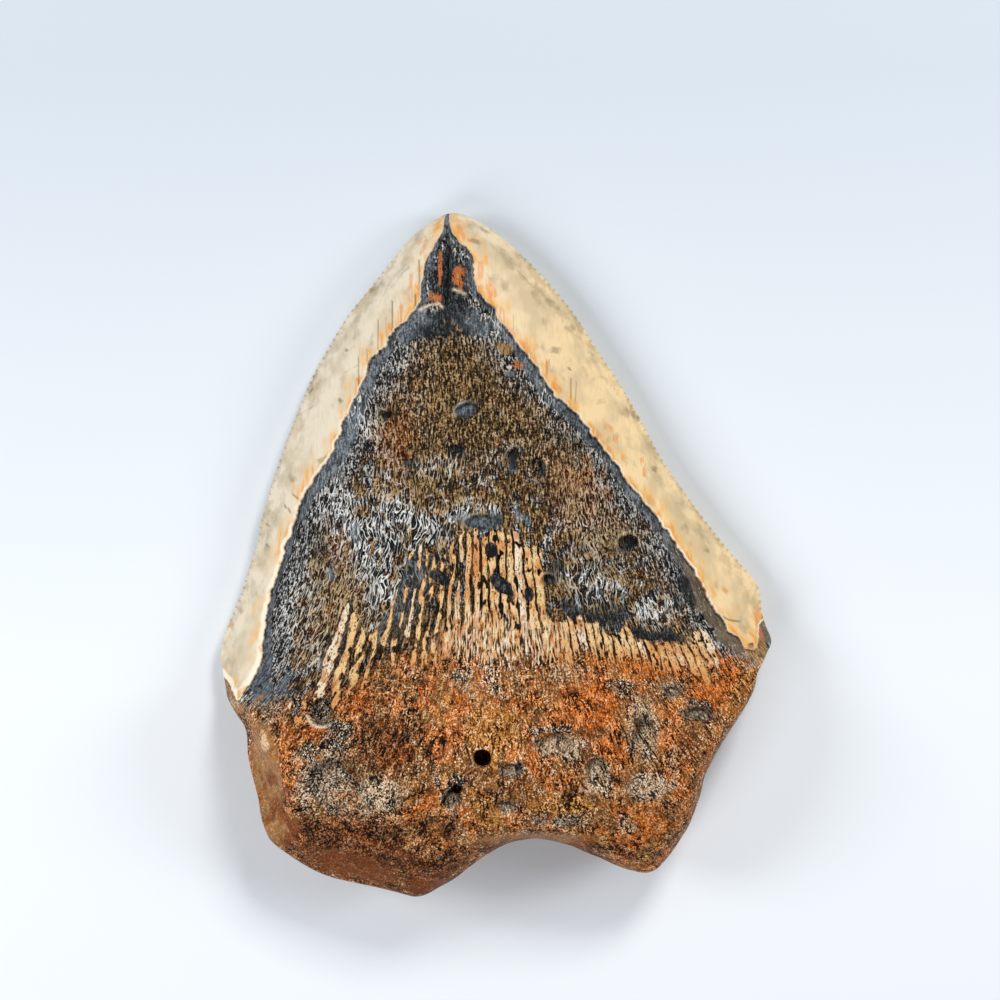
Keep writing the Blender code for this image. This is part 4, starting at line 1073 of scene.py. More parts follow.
def fibre_place(points, height, layer):
    plan = (points[:, 0] - FIBRE_MIDDLE[0]) + 1j * (points[:, 1] - FIBRE_MIDDLE[1])
    shares = (np.arange(FIBRE_STEPS) + 0.5) / FIBRE_STEPS
    factors = [np.exp(-1j * FIBRE_FAN * plan * t + FIBRE_SPREAD * (plan * t) ** 2 / 2) for t in shares]
    straight = plan * np.mean(factors, axis=0)
    swirl = blend(SWIRL_ELSEWHERE, 1.0, patched(points, SWIRLS))
    x = straight.real + swirl * wander(points, SWIRL_SIZE, layer + 13.1)
    y = straight.imag + swirl * wander(points, SWIRL_SIZE, layer + 14.7)
    return np.stack([x, y, height + layer], axis=1)


# %% Values along the cutting edges, for the serrations
# The saw fades out between these heights at the tip and at the shoulders, and is worn unevenly between them
WORN_TIP_Y = (47.5, 40.0)
WORN_SHOULDER_Y = (-13.5, -9.0)
WEAR_SIZE = 4.0
cutting_mask = np.zeros(len(outline), bool)
cutting_mask[: len(right_edge)] = True
cutting_mask[-len(left_edge):] = True


def edge_values(points):
    _, index = nearest(corner_tree, points)
    kept = smoothstep(*WORN_TIP_Y, outline[:, 1]) * smoothstep(*WORN_SHOULDER_Y, outline[:, 1])
    uneven = 0.75 + 0.5 * wander(outline, WEAR_SIZE, 4.4)
    wear = kept * np.clip(uneven, 0.25, 1.2) * cutting_mask
    out = sideways(outline, closed=True)
    flat_out = np.column_stack([out, np.zeros(len(out))])
    return walked_along(outline)[index], flat_out[index], wear[index]


# %% All the values of one face
UNDERSIDE_LAYER = 60.0
OFF_THE_RIBS = -9.0


def domed_values(points, enamel):
    """What only the domed face has."""
    x, y = points[:, 0], points[:, 1]
    beside = (x < RIB_TOP[0][0]) | (x > RIB_TOP[-1][0])
    found = {
        "root_line": stepped(ROOT_LINE, x) - y,
        "lip": lip_highlights(points),
        "rib_below_top": np.where(beside, OFF_THE_RIBS, stepped(RIB_TOP, x) - y),
        "rib_above_foot": y - stepped(RIB_FOOT, x),
    }
    found.update({name: marked(points, marks) for name, marks in MARKS.items()})
    found.update({name: patched(points, patches) for name, patches in PATCHES.items()})
    found["slate"] = np.maximum(found["slate"], slate_band(points, enamel))
    return found


def flat_values(points, enamel):
    """The same for the flat face, which has no ribs, marks or patches."""
    blank = np.zeros(len(points))
    found = {name: blank for name in ("lip", *MARKS, *PATCHES)}
    off = blank + OFF_THE_RIBS
    return {**found, "root_line": -enamel, "rib_below_top": off, "rib_above_foot": off}


def values_at(points, height, domed):
    run, out, wear = edge_values(points)
    enamel = into_enamel(points) if domed else points[:, 1] - along(LABIAL_ENAMEL_FOOT, points[:, 0])
    pits = [pit for pit in PITS + SMALL_PITS if pit[5] > 0] if domed else LABIAL_PITS
    found = {
        "edge_gap": gap_to(outline_tree, points),
        "edge_run": run,
        "edge_out": out,
        "edge_wear": wear,
        "fibre": fibre_place(points, height, 0.0 if domed else UNDERSIDE_LAYER),
        "enamel": enamel,
        "bevel": bevel_width(points),
        "underside": np.full(len(points), 0.0 if domed else 1.0),
        "hollow": np.max([pit_wall_shade(pit, points) for pit in pits], axis=0),
        "rib_turn": rib_turn(points),
        "rib_share": stepped(RIB_CREST_SHARES, rib_place(points)),
    }
    found.update(domed_values(points, enamel) if domed else flat_values(points, enamel))
    return found


# %% Join the two faces with a blunt edge
EDGE_BULGE = 0.07


def joined_tooth():
    top_gap, flat_gap = gap_to(outline_tree, domed_points), gap_to(outline_tree, flat_points)
    top = domed_face(domed_points, top_gap, into_enamel(domed_points))
    bottom = flat_face(flat_points, flat_gap)
    bulge = outline + sideways(outline, closed=True) * EDGE_BULGE
    middle = rim(outline, 0)
    groups = ((domed_points, top, True), (flat_points, bottom, False), (outline, middle, True))
    values = [values_at(*group) for group in groups]
    places = [np.column_stack(pair) for pair in ((domed_points, top), (flat_points, bottom), (bulge, middle))]
    start = len(domed_points)
    band = start + len(flat_points)
    upper = nearest(tree_of(domed_points), outline)[1]
    lower = nearest(tree_of(flat_points), outline)[1] + start
    faces = domed_triangles.tolist() + (flat_triangles[:, ::-1] + start).tolist()
    for i in range(len(outline)):
        j = i - 1
        faces.append((upper[j], upper[i], band + i, band + j))
        faces.append((band + j, band + i, lower[i], lower[j]))
    mesh = bpy.data.meshes.new("tooth_surface")
    mesh.from_pydata((np.vstack(places) * MM).tolist(), [], faces)
    mesh.shade_smooth()
    for name in values[0]:
        stacked = np.concatenate([found[name] for found in values])
        kind, slot = ("FLOAT_VECTOR", "vector") if stacked.ndim == 2 else ("FLOAT", "value")
        mesh.attributes.new(name, kind, "POINT").data.foreach_set(slot, stacked.astype(np.float32).ravel())
    return into_scene("tooth_surface", mesh)


tooth = joined_tooth()
triangle_count = sum(len(face.vertices) - 2 for face in tooth.data.polygons)
print(len(tooth.data.vertices), "points,", triangle_count, "triangles")

# %% [markdown]
# ## Relief with Geometry Nodes
# Three things on this tooth repeat or follow the surface: the serrations, the ribs at the neck, and the
# grain. Each gets a small tree of nodes that reads the named values and pushes the points. Its sizes are
# named inputs, so they can be changed without reading the tree.


# %% Helpers for node trees
CLOUD_ROUGHNESS = 0.55


def maths(operation, *values):
    return put("ShaderNodeMath", dict(enumerate(values)), operation=operation).outputs[0]


def ease(value, low, high):
    """0 below the low value, 1 above the high one, and a smooth rise between."""
    given = {"Value": value, "From Min": low, "From Max": high}
    return put("ShaderNodeMapRange", given, interpolation_type="SMOOTHSTEP").outputs[0]


def between(share, first, second):
    return put("ShaderNodeMix", {0: share, 2: first, 3: second}).outputs[0]


def cloud(place, size, layer, detail=2.0):
    """Noise with lumps of a size in mm, which may differ along the three axes."""
    given = {0: place, 1: tuple(1 / value for value in size), 2: (layer, layer, layer)}
    moved = put("ShaderNodeVectorMath", given, operation="MULTIPLY_ADD").outputs[0]
    given = {"Vector": moved, "Scale": 1.0, "Detail": detail, "Roughness": CLOUD_ROUGHNESS}
    return put("ShaderNodeTexNoise", given).outputs[0]


def chained(operation, values):
    result = values[0]
    for value in values[1:]:
        result = maths(operation, result, value)
    return result


def times(*values):
    return chained("MULTIPLY", values)


def most(*values):
    return chained("MAXIMUM", values)


def mixture(first, first_part, second, second_part):
    return maths("ADD", times(first, first_part), times(second, second_part))


def less(value, taken):
    return maths("SUBTRACT", value, taken)


def swung(value, noise_value, reach):
    """A value moved up and down by noise."""
    return maths("MULTIPLY_ADD", less(noise_value, 0.5), 2 * reach, value)


# %% Start and end of a Geometry Nodes tree
def new_relief(name, inputs):
    tree = bpy.data.node_groups.new(name, "GeometryNodeTree")
    tree.is_modifier = True
    tree.interface.new_socket("Geometry", in_out="INPUT", socket_type="NodeSocketGeometry")
    for label in inputs:
        tree.interface.new_socket(label, in_out="INPUT", socket_type="NodeSocketFloat")
    tree.interface.new_socket("Material", in_out="INPUT", socket_type="NodeSocketMaterial")
    tree.interface.new_socket("Geometry", in_out="OUTPUT", socket_type="NodeSocketGeometry")
    return tree, put("NodeGroupInput", tree=tree).outputs


def named(tree, name, kind="FLOAT"):
    return put("GeometryNodeInputNamedAttribute", {"Name": name}, tree, data_type=kind).outputs[0]


def stored(geometry, name, value):
    given = {"Geometry": geometry, "Name": name, "Value": value}
    return put("GeometryNodeStoreNamedAttribute", given, data_type="FLOAT", domain="POINT").outputs[0]


def pushed(geometry, direction, distance):
    offset = put("ShaderNodeVectorMath", {0: direction, "Scale": distance}, operation="SCALE").outputs[0]
    return put("GeometryNodeSetPosition", {"Geometry": geometry, "Offset": offset}).outputs[0]


def end_relief(geometry, material):
    real = put("GeometryNodeRealizeInstances", {"Geometry": geometry}).outputs[0]
    given = {"Geometry": real, "Material": material}
    put("NodeGroupOutput", {"Geometry": put("GeometryNodeSetMaterial", given).outputs[0]})


def apply_relief(piece, tree, sizes, material):
    modifier = piece.modifiers.new(tree.name, "NODES")
    modifier.node_group = tree
    given = {**sizes, "Material": material}
    for item in tree.interface.items_tree:
        if item.in_out == "INPUT" and item.name in given:
            modifier[item.identifier] = given[item.name]
    print(tree.name, {label: round(value, 6) for label, value in sizes.items()})


# %% [markdown]
# ### Serrations
# A megalodon's edges are a fine saw, about ten teeth to a centimetre on this one. A wave along the edge
# pushes the points out and in, and dies away within a millimetre of the edge. Separate little teeth would be
# truer to a new tooth, but this one is worn, and its teeth are low and round.

# %% The tree for the serrated edge
SERRATION_PITCH = 1.0
SERRATION_HEIGHT = 0.26
SERRATION_REACH = 1.0


def serrated_edge():
    tree, given = new_relief("Serrated edge", ("Pitch", "Height", "Reach"))
    turns = maths("DIVIDE", named(tree, "edge_run"), given["Pitch"])
    wave = maths("COSINE", times(turns, math.tau))
    near = ease(named(tree, "edge_gap"), given["Reach"], 0.0)
    amount = times(wave, near, named(tree, "edge_wear"))
    geometry = stored(given["Geometry"], "serration", amount)
    push = times(amount, times(given["Height"], 0.5))
    geometry = pushed(geometry, named(tree, "edge_out", "FLOAT_VECTOR"), push)
    end_relief(geometry, given["Material"])
    return tree


# %% [markdown]
# ### Ribs at the neck
# Under the enamel's old edge the dentine stands in thin pale ribs with black grooves between them. They fan
# out from beyond the tip. Each rib starts at its own height and is broken off here and there. The relief and
# the material draw them by the same rule, so that the colour sits on the ribs.

# %% Where the ribs are, for both kinds of tree
RIB_HEIGHT = 0.3
RIB_WANDER = 1.3
RIB_STAGGER = 2.4
RIB_EDGE_SIZE = (0.45, 1.6, 0.8)
RIB_EDGE_REACH = 0.45
RIB_BREAK_SIZE = (1.0, 1.9, 1.0)
RIB_BEND_SIZE = (2.4, 6.0, 2.0)
# From where to where each rises: below the band's top, above its foot, out of a break, up a rib's side
RIB_TOP_FADE = (-0.2, 0.4)
RIB_FOOT_FADE = (-2.6, 1.4)
RIB_BREAK_EDGE = (0.53, 0.61)
RIB_SIDE = (-0.09, 0.13)
RIB_VALUES = ("rib_turn", "rib_share", "rib_below_top", "rib_above_foot")


def rib_shares(know, fibre):
    """How far a point is inside the ribbed band, how high on a rib, and that rib's own number."""
    turn = know.rib_turn
    own = put("ShaderNodeTexWhiteNoise", {"W": maths("ROUND", turn)}, noise_dimensions="1D").outputs[0]
    start = times(less(own, 0.55), RIB_STAGGER)
    below_top = ease(maths("ADD", know.rib_below_top, start), *RIB_TOP_FADE)
    above_foot = ease(less(know.rib_above_foot, start), *RIB_FOOT_FADE)
    from_middle = maths("ABSOLUTE", less(turn, maths("ROUND", turn)))
    out = swung(times(from_middle, 2.0), cloud(fibre, RIB_EDGE_SIZE, 3.0, 1.5), RIB_EDGE_REACH)
    holes = cloud(fibre, RIB_BREAK_SIZE, 11.0, 1.0)
    unbroken = ease(maths("MULTIPLY_ADD", know.rib_share, 0.25, holes), *RIB_BREAK_EDGE)
    crest = times(ease(less(know.rib_share, out), *RIB_SIDE), unbroken)
    return times(below_top, above_foot), crest, own


# %% The tree for the ribbed neck
def ribbed_neck():
    tree, given = new_relief("Ribbed neck", ("Height", "Wander"))
    fibre = named(tree, "fibre", "FLOAT_VECTOR")
    know = SimpleNamespace(**{name: named(tree, name) for name in RIB_VALUES})
    bend = less(cloud(fibre, RIB_BEND_SIZE, 7.0), 0.5)
    know.rib_turn = maths("MULTIPLY_ADD", bend, given["Wander"], know.rib_turn)
    band, crest, own = rib_shares(know, fibre)
    geometry = stored(given["Geometry"], "rib_turn", know.rib_turn)
    normal = put("GeometryNodeInputNormal", tree=tree).outputs[0]
    geometry = pushed(geometry, normal, times(band, crest, given["Height"]))
    end_relief(geometry, given["Material"])
    return tree


# %% [markdown]
# ### Grain
# Without its enamel the tooth is a dense felt of fibres. Up close it is all short ridges and hollows along
# the fibres, coarser on the root. This tree lifts and sinks the points by noise drawn out along the fibres.
# What is finer than the mesh is left to the material's bump.

# %% The tree for the surface grain
GRAIN_HEIGHT = 0.32
GRAIN_CROWN_SHARE = 0.6
GRAIN_FINE = (0.7, 1.4, 0.7)
GRAIN_COARSE = (1.7, 3.0, 1.7)


def surface_grain():
    tree, given = new_relief("Surface grain", ("Height", "Root height"))
    fibre = named(tree, "fibre", "FLOAT_VECTOR")
    fine = cloud(fibre, GRAIN_FINE, 21.0)
    coarse = cloud(fibre, GRAIN_COARSE, 27.0, 3.0)
    grain = mixture(fine, 0.6, coarse, 0.4)
    on_root = ease(named(tree, "root_line"), -1.0, 1.0)
    bare = ease(named(tree, "enamel"), -0.15, -0.7)
    calm = less(1.0, times(named(tree, "smooth"), 0.8))
    inner = ease(named(tree, "edge_gap"), 0.0, 1.0)
    share = times(bare, calm, inner)
    height = between(on_root, given["Height"], given["Root height"])
    swing = times(less(grain, 0.5), 2.0)
    geometry = stored(given["Geometry"], "grain", grain)
    normal = put("GeometryNodeInputNormal", tree=tree).outputs[0]
    geometry = pushed(geometry, normal, times(swing, share, height))
    end_relief(geometry, given["Material"])
    return tree


# %% [markdown]
# ## The finish
# One material covers the tooth, because its tissues run into each other. Each tissue has its own recipe for
# colour, gloss and fine relief, and the named values say where each one shows. All patterns are noise in the
# tooth's own space or along its fibres, so they keep their place from any side. A recipe lays coats over a
# base, as a painter would. The two numbers after a value are where its share starts and where it is full,
# and a number alone at the end of a coat is how strong that coat is.

# %% Colours as they look under the studio light
CREAM, TAN, SAND = seen_as(230, 216, 192), seen_as(196, 176, 142), seen_as(244, 214, 164)
OLIVE_STAIN, CRACK_BROWN, BROKEN_WHITE = seen_as(112, 98, 68), seen_as(62, 52, 38), seen_as(250, 238, 214)
AMBER, DEEP_ORANGE, BROKEN_BROWN = seen_as(240, 184, 104), seen_as(222, 136, 46), seen_as(150, 96, 48)
SLATE_BLACK, DENTINE_BROWN = seen_as(64, 67, 68), seen_as(92, 66, 38)
DENTINE_OCHRE, RUST_BROWN = seen_as(122, 88, 48), seen_as(146, 82, 36)
SHEEN_WHITE, TAN_GLINT = seen_as(236, 236, 232), seen_as(194, 166, 120)
SLATE, PALE_SLATE, OLIVE_SLATE = seen_as(70, 77, 82), seen_as(130, 138, 144), seen_as(122, 104, 78)
RIB_CREAM, RIB_WHITE = seen_as(240, 202, 144), seen_as(246, 230, 206)
RIB_ORANGE, RIB_TAN = seen_as(212, 136, 68), seen_as(206, 174, 138)
ROOT_BROWN, DEEP_BROWN, RUST = seen_as(170, 110, 56), seen_as(126, 56, 6), seen_as(232, 118, 26)
GOLD, PALE_BONE, WALL_TAN = seen_as(218, 136, 46), seen_as(226, 188, 146), seen_as(178, 122, 68)
BURNT_ORANGE, ROOT_SLATE, WOOD = seen_as(184, 108, 62), seen_as(140, 136, 126), seen_as(172, 134, 88)
LIP_HIGHLIGHT_CREAM = seen_as(240, 220, 190)
ROOT_FLECK_GLINT, BONE_FLECK_GLINT = seen_as(248, 208, 150), seen_as(253, 242, 218)
# One setting for the whole tooth: dry old bone and enamel shine less than glass
SHINE = 0.08


# %% Helpers for the material
def read(tree, name, output="Fac"):
    return put("ShaderNodeAttribute", tree=tree, attribute_name=name).outputs[output]


def tint(share, first, second):
    return put("ShaderNodeMix", {0: share, 6: first, 7: second}, data_type="RGBA").outputs[2]


def ragged(mask, noise_value, reach=0.9, low=0.42, high=0.72):
    """Turns a soft patch into one with a ragged edge."""
    return times(ease(swung(mask, noise_value, reach), low, high), ease(mask, 0.02, 0.2))


def darker(share, colour, most_dark=0.0):
    """The colour times a number that falls from 1 to the one given as the share rises."""
    factor = between(share, 1.0, most_dark)
    if isinstance(colour, tuple):
        colour = colour[:3]
    return put("ShaderNodeVectorMath", {0: colour, "Scale": factor}, operation="SCALE").outputs[0]


def coats(base, *layers):
    """Lays coats over a base: each is a colour, or a number to darken the base by, and its shares."""
    for finish, *shares in layers:
        share = times(*shares)
        base = darker(share, base, finish) if isinstance(finish, float) else tint(share, base, finish)
    return base


# %% [markdown]
# ### Patterns that the tissues share
# Up close all the bare tooth is made of threads and beads a third of a millimetre across. Larger blotches,
# streaks and fields change its colour. They are drawn once and used by every recipe.

# %% Shared patterns
# The space each is drawn in, the size of its lumps in mm, its layer of noise and its detail
PATTERNS = {
    "thread": ("fibre", (0.22, 1.5, 0.4), 31.0, 1.0),
    "bead": ("place", (0.27, 0.33, 0.27), 33.0, 1.0),
    "grit": ("place", (0.17, 0.24, 0.17), 61.0, 1.0),
    "blotch": ("place", (1.7, 2.3, 1.7), 34.0, 3.0),
    "field": ("place", (4.5, 5.5, 4.5), 57.0, 2.0),
    "streak": ("fibre", (0.75, 4.0, 1.0), 37.0, 2.0),
    "mottle": ("fibre", (0.75, 1.5, 0.75), 54.0, 2.5),
    "calm_field": ("place", (3.4, 4.6, 3.4), 51.0, 2.0),
    "silver_worm": ("fibre", (0.58, 2.3, 0.8), 41.0, 1.0),
    "rib_thread": ("fibre", (0.42, 2.8, 0.8), 47.0, 2.0),
    "enamel_smudge": ("place", (2.6, 4.0, 2.6), 5.0, 4.0),
    "enamel_thread": ("fibre", (0.3, 5.0, 0.8), 12.0, 1.0),
    "enamel_streak": ("fibre", (0.8, 4.5, 1.2), 15.0, 2.0),
}
# Bright lines of painted sheen, and cracks, run where the worm pattern crosses its middle value. How near to
# it they keep
SHEEN_LINE_WIDTH = (0.045, 0.016)
CRACK_LINE_WIDTH = (0.03, 0.01)


def draw_patterns(know):
    for name, (space, size, layer, detail) in PATTERNS.items():
        setattr(know, name, cloud(getattr(know, space), size, layer, detail))
    off_line = maths("ABSOLUTE", less(know.silver_worm, 0.5))
    know.silver_line = ease(off_line, *SHEEN_LINE_WIDTH)
    know.crack_line = times(ease(off_line, *CRACK_LINE_WIDTH), ease(know.blotch, 0.42, 0.54))


# %% [markdown]
# ### Enamel
# Real enamel is smooth and faintly glossy. Here it is cream on the left and sandier on the right, with olive
# smudges, hairlines, and an amber stain that creeps in from the broken edge along the fibres. The broken
# bevel itself is fresh and pale.

# %% Enamel recipe
# How far the amber stain's edge swings in and out along the fibres
STAIN_REACH = 3.4


def enamel_recipe(know):
    upper = ease(know.underside, 0.6, 0.4)
    smudge = ease(know.enamel_smudge, 0.54, 0.74)
    creep = swung(know.enamel, know.enamel_streak, STAIN_REACH)
    broad = times(ease(know.field, 0.36, 0.56), upper)
    along_bevel = maths("DIVIDE", know.enamel, know.bevel)
    chalk = times(ease(along_bevel, 1.05, 0.6), ease(know.blotch, 0.3, 0.48), upper)
    colour = coats(
        CREAM,
        (SAND, ease(know.x, -14.0, 14.0)),
        (TAN, ease(know.field, 0.42, 0.66), 0.6),
        (OLIVE_STAIN, smudge, 0.42),
        (OLIVE_STAIN, ease(know.edge_gap, 4.5, 0.3), ease(know.blotch, 0.42, 0.64), 0.32),
        (TAN, ease(know.enamel_thread, 0.5, 0.7), 0.2),
        (AMBER, ease(creep, 2.3, 0.2), broad, 0.75),
        (DEEP_ORANGE, ease(creep, 0.9, -0.5), broad, 0.6),
        (DEEP_ORANGE, know.orange, ease(know.enamel_thread, 0.36, 0.5), 0.8),
        (OLIVE_STAIN, know.olive, ease(know.blotch, 0.36, 0.56), 0.6),
        (CRACK_BROWN, know.dark, 0.6),
        (BROKEN_WHITE, chalk),
        (BROKEN_BROWN, ease(know.enamel, 0.22, 0.05), upper, 0.7),
        (OLIVE_STAIN, ease(know.edge_gap, 0.55, 0.1), ease(know.serration, 0.1, 0.6), 0.35),
    )
    return colour, maths("MULTIPLY_ADD", chalk, 0.3, maths("MULTIPLY_ADD", smudge, 0.15, 0.34))


# %% [markdown]
# ### Dentine
# The bared dentine is brown in the middle and slate-black beside the enamel, with a smooth blue-grey rim.
# Where it is polished, thin bright lines wind over it: a painted sheen, strongest in patches where the soft
# boxes are reflected. Its pale flecks are partly pale grain and partly painted glints. The same patterns give
# the colour and the relief, so the light catches the pale ridges and misses the black hollows.

# %% Dentine recipe
def dentine_recipe(know):
    fleck, blotch, streak = know.fleck, know.blotch, know.streak
    belt = ease(swung(know.enamel, blotch, 4.5), -7.0, -2.5)
    brown = ragged(know.umber, blotch, 0.9, 0.1, 1.0)
    folds = ease(most(streak, blotch), 0.4, 0.54)
    # A painted sheen: bright lines and pale flecks, strongest in the sheen patches and weaker on the band
    # beside the enamel
    sheen_share = most(times(ragged(know.silver, blotch, 0.7, 0.2, 0.8), folds), times(belt, 0.4))
    cold = times(most(belt, sheen_share, ease(blotch, 0.46, 0.62)), less(1.0, brown))
    light = tint(cold, TAN_GLINT, SHEEN_WHITE)
    rough = coats(
        DENTINE_BROWN,
        (DENTINE_OCHRE, ease(streak, 0.44, 0.6)),
        (RUST_BROWN, ease(streak, 0.44, 0.34), 0.6),
        (RUST_BROWN, ragged(know.rust, blotch, 0.8)),
        (SLATE_BLACK, cold, 0.9),
        (light, ease(fleck, 0.53, 0.62), less(0.85, times(sheen_share, 0.2))),
        (0.06, ease(fleck, 0.55, 0.43)),
        (0.6, ease(know.field, 0.5, 0.36)),
        (light, know.silver_line, most(sheen_share, 0.12), ease(fleck, 0.4, 0.48)),
    )
    olive = darker(ease(most(fleck, streak), 0.62, 0.42), OLIVE_SLATE, 0.55)
    hollows = times(ease(swung(blotch, streak, 0.5), 0.6, 0.42), ease(know.x, 36.0, 22.0))
    polished = coats(
        SLATE,
        (PALE_SLATE, ease(fleck, 0.4, 0.58)),
        (olive, ease(know.x, 22.0, 29.0), 0.85),
        (0.42, most(hollows, times(ease(know.x, -24.0, -29.0), 0.5))),
    )
    pitted = darker(ease(fleck, 0.68, 0.48), SLATE, 0.12)
    golden = tint(ease(fleck, 0.54, 0.66), BURNT_ORANGE, RIB_ORANGE)
    grained_wood = darker(ease(know.thread, 0.56, 0.4), WOOD, 0.35)
    colour = coats(
        rough,
        (polished, ragged(know.slate, blotch, 0.9, 0.4, 0.8)),
        # Black-pitted slate in the dark patches, which are partly painted shade
        (pitted, ragged(know.soot, blotch, 0.6), 0.92),
        # Painted sheen lines over the sheen patches
        (light, know.silver_line, ease(know.silver, 0.15, 0.45), 0.75),
        (golden, ragged(know.gold, blotch, 0.8), ease(fleck, 0.36, 0.44), 0.9),
        (grained_wood, ragged(know.pale, blotch, 0.5)),
    )
    return colour, between(sheen_share, 0.4, 0.28)


# %% [markdown]
# ### Ribs
# Their crests are cream or orange, a colour of its own for each rib, and the grooves between are black.

# %% Rib recipe
def rib_recipe(know, bare):
    above_foot = swung(know.rib_above_foot, know.streak, 9.0)
    middle = times(ease(know.x, -10.0, -4.0), ease(know.x, 12.0, 6.0), ease(above_foot, 5.6, 3.0))
    rusty = most(ease(know.blotch, 0.48, 0.62), ease(know.rib_above_foot, 1.6, -1.4), know.gold)
    crest = coats(
        RIB_CREAM,
        (RIB_WHITE, ease(know.rib_own, 0.4, 1.1)),
        (RIB_ORANGE, rusty, 0.75),
        (RIB_ORANGE, ease(know.rib_crest, 0.98, 0.5), 0.8),
    )
    worn = coats(
        RIB_TAN,
        (crest, ease(know.rib_thread, 0.42, 0.54)),
        (RIB_WHITE, ease(know.thread, 0.54, 0.64)),
        (0.1, ease(know.thread, 0.48, 0.39)),
    )
    crest = coats(crest, (worn, middle, 0.9), (0.25, ease(know.fleck, 0.47, 0.38)))
    shade = times(most(ease(know.x, -6.0, -2.0), 0.5), ease(know.soot, 0.6, 0.3))
    groove = coats(bare, (SLATE, ease(know.silver, 0.1, 0.5), 0.55), (0.12, shade))
    raised = ease(most(know.rib_crest, times(middle, ease(know.rib_thread, 0.36, 0.46))), 0.1, 0.6)
    return tint(raised, groove, crest), 0.5


# %% [markdown]
# ### Root
# The root is porous bone, stained by iron in the ground: brown with rust, gold and pale patches, and flecked
# all over, the pale flecks partly painted glints. Its left flank is worn smooth. Its deep brown base and its
# dark patches are partly painted shade.

# %% Root recipe
def root_recipe(know):
    fleck, blotch, field, mottle = know.fleck, know.blotch, know.field, know.mottle
    deep = ragged(know.umber, blotch, 0.7, 0.3, 0.8)
    pale = ragged(know.pale, blotch, 0.8, 0.36, 0.9)
    # The dark patches are partly a dark stain and partly painted shade
    stain_and_shade = ragged(know.soot, blotch, 0.8)
    smooth = ragged(know.smooth, blotch, 0.5, 0.4, 0.8)
    busy = between(ease(swung(blotch, know.calm_field, 0.6), 0.4, 0.6), 0.65, 1.0)
    clumps = ease(swung(mottle, know.bead, 0.5), 0.46, 0.38)
    base = coats(
        ROOT_BROWN,
        (RUST, ease(field, 0.46, 0.62), 0.8),
        (RUST, ease(blotch, 0.5, 0.66), 0.5),
        (DEEP_BROWN, ease(field, 0.48, 0.34), 0.8),
        (GOLD, ease(know.streak, 0.53, 0.66), 0.5),
        (darker(ease(know.x, -12.0, -24.0), RUST, 0.68), ragged(know.rust, blotch)),
        (GOLD, ragged(know.gold, blotch)),
        (DEEP_BROWN, deep, 0.85),
        (PALE_BONE, pale, 0.75),
        (ROOT_SLATE, ragged(know.slate, blotch, 0.9, 0.3, 0.9), 0.85),
        (0.15, stain_and_shade, 0.85),
        (0.33, ease(mottle, 0.54, 0.34), between(pale, 1.0, 0.5), busy),
        (0.15, clumps, ease(know.x, -5.0, -16.0), 0.9),
    )
    worn = coats(
        WALL_TAN,
        (ROOT_BROWN, ease(blotch, 0.4, 0.6)),
        (OLIVE_SLATE, ease(know.streak, 0.46, 0.6), 0.5),
        (PALE_BONE, pale, ease(fleck, 0.4, 0.5)),
        (DEEP_BROWN, deep, 0.85),
    )
    strong = between(smooth, 1.0, 0.3)
    # Pale flecks: the bone's own pale grains, partly painted glints
    grains = mixture(know.thread, 0.3, know.bead, 0.7)
    glint = tint(most(pale, stain_and_shade, ease(grains, 0.58, 0.64)), ROOT_FLECK_GLINT, BONE_FLECK_GLINT)
    shown = between(most(pale, times(stain_and_shade, 0.7)), between(ease(mottle, 0.42, 0.6), 0.3, 1.0), 1.0)
    shown = times(shown, between(most(deep, times(know.rust, 0.7)), 1.0, 0.4))
    specks = most(ease(know.grit, 0.57, 0.63), ease(grains, 0.57, 0.62))
    pocks = most(ease(know.grit, 0.44, 0.38), ease(fleck, 0.49, 0.43))
    colour = coats(
        base,
        (worn, smooth),
        (glint, specks, strong, shown),
        (0.1, know.crack_line, strong),
        (0.03, pocks, strong, most(busy, times(pale, 0.8))),
    )
    return colour, between(smooth, 0.5, 0.42)


# %% [markdown]
# ### Fine relief
# The threads and beads also stand up from the surface. What is finer than the mesh is left to the bump, and
# it gets weaker where the surface is smooth.

# %% Fine relief recipe
BARE_RELIEF = 0.55
SMOOTH_RELIEF = 0.14
CRACK_DEPTH = 0.06


def fine_relief(know):
    calm = most(know.smooth, know.slate, times(ease(know.enamel, -0.1, 0.1), 1.5))
    height = times(know.fleck, between(ease(calm, 0.2, 0.9), BARE_RELIEF, SMOOTH_RELIEF))
    bare = ease(know.enamel, 0.1, -0.1)
    return less(times(height, bare), times(know.dark, CRACK_DEPTH))


# %% Put the tissues together
READ_VALUES = (
    "enamel", "bevel", "edge_gap", "serration", "underside", "root_line", "grain", "hollow", "lip",
    *RIB_VALUES, *MARKS, *PATCHES,
)


def layered(share, lower, upper):
    """One recipe over another, by a share."""
    return tint(share, lower[0], upper[0]), between(share, lower[1], upper[1])


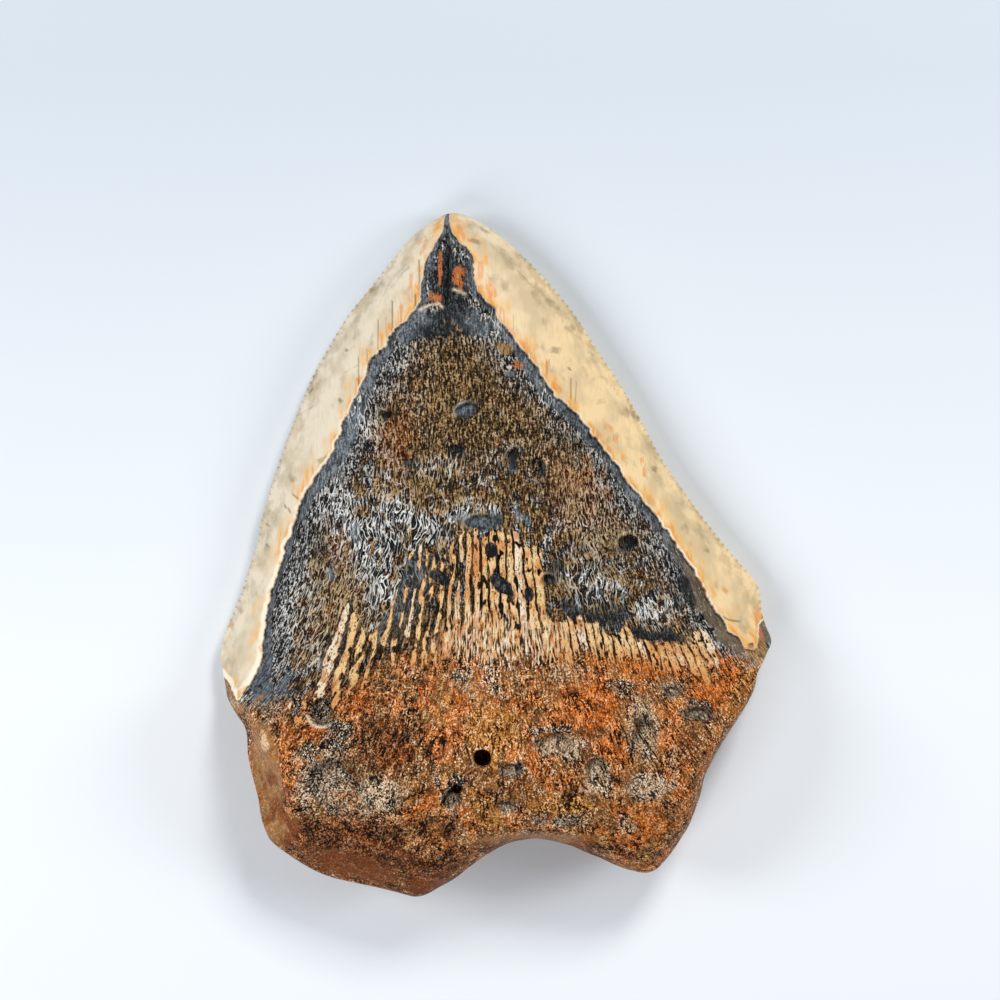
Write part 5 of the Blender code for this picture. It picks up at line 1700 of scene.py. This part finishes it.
def fossil_material():
    material, tree, shader = new_material("fossil_tooth")
    know = SimpleNamespace(**{name: read(tree, name) for name in READ_VALUES})
    know.fibre = read(tree, "fibre", "Vector")
    scaled = {0: put("ShaderNodeTexCoord", tree=tree).outputs["Object"], "Scale": 1 / MM}
    know.place = put("ShaderNodeVectorMath", scaled, operation="SCALE").outputs[0]
    know.x = put("ShaderNodeSeparateXYZ", {0: know.place}).outputs["X"]
    draw_patterns(know)
    fine = mixture(know.thread, 0.55, know.bead, 0.45)
    know.fleck = swung(fine, know.grain, 0.12)
    band, crest, know.rib_own = rib_shares(know, know.fibre)
    crest = most(crest, ease(know.gold, 0.92, 1.04))
    # Ribs fade out in the dark patches, which are partly painted shade
    know.rib_crest = times(crest, ease(swung(know.soot, know.blotch, 0.6), 0.75, 0.45))
    tongue = swung(know.root_line, know.blotch, 3.4)
    bare = layered(ease(tongue, -0.9, 0.9), dentine_recipe(know), root_recipe(know))
    ribbed = layered(ease(swung(band, know.fleck, 1.3), 0.3, 0.6), bare, rib_recipe(know, bare[0]))
    whole = layered(ease(know.enamel, -0.02, 0.05), ribbed, enamel_recipe(know))
    # Painted shade darkens the pits; painted highlights brighten their upper left rims and the broken edges
    colour = coats(whole[0], (0.1, know.hollow), (LIP_HIGHLIGHT_CREAM, know.lip))
    tree.links.new(colour, shader.inputs["Base Color"])
    tree.links.new(whole[1], shader.inputs["Roughness"])
    shader.inputs["Specular IOR Level"].default_value = SHINE
    bump = put("ShaderNodeBump", {"Height": fine_relief(know), "Distance": MM, "Strength": 1.0})
    tree.links.new(bump.outputs[0], shader.inputs["Normal"])
    print("fossil_tooth has", len(tree.nodes), "nodes")
    return material


# %% Apply the relief and keep a plain mesh
RELIEFS = (
    (serrated_edge, {"Pitch": SERRATION_PITCH, "Height": SERRATION_HEIGHT * MM, "Reach": SERRATION_REACH}),
    (ribbed_neck, {"Height": RIB_HEIGHT * MM, "Wander": RIB_WANDER}),
    (surface_grain, {"Height": GRAIN_CROWN_SHARE * GRAIN_HEIGHT * MM, "Root height": GRAIN_HEIGHT * MM}),
)


def finished_tooth(piece):
    material = fossil_material()
    for draw, sizes in RELIEFS:
        apply_relief(piece, draw(), sizes, material)
    mesh = bpy.data.meshes.new_from_object(piece.evaluated_get(bpy.context.evaluated_depsgraph_get()))
    piece.modifiers.clear()
    piece.data = mesh
    return piece


tooth = finished_tooth(tooth)
print("finished:", len(tooth.data.polygons), "faces,", len(tooth.data.materials), "material")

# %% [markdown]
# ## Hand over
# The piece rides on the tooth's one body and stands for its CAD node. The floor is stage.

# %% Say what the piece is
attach(tooth, "root")
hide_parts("tooth")
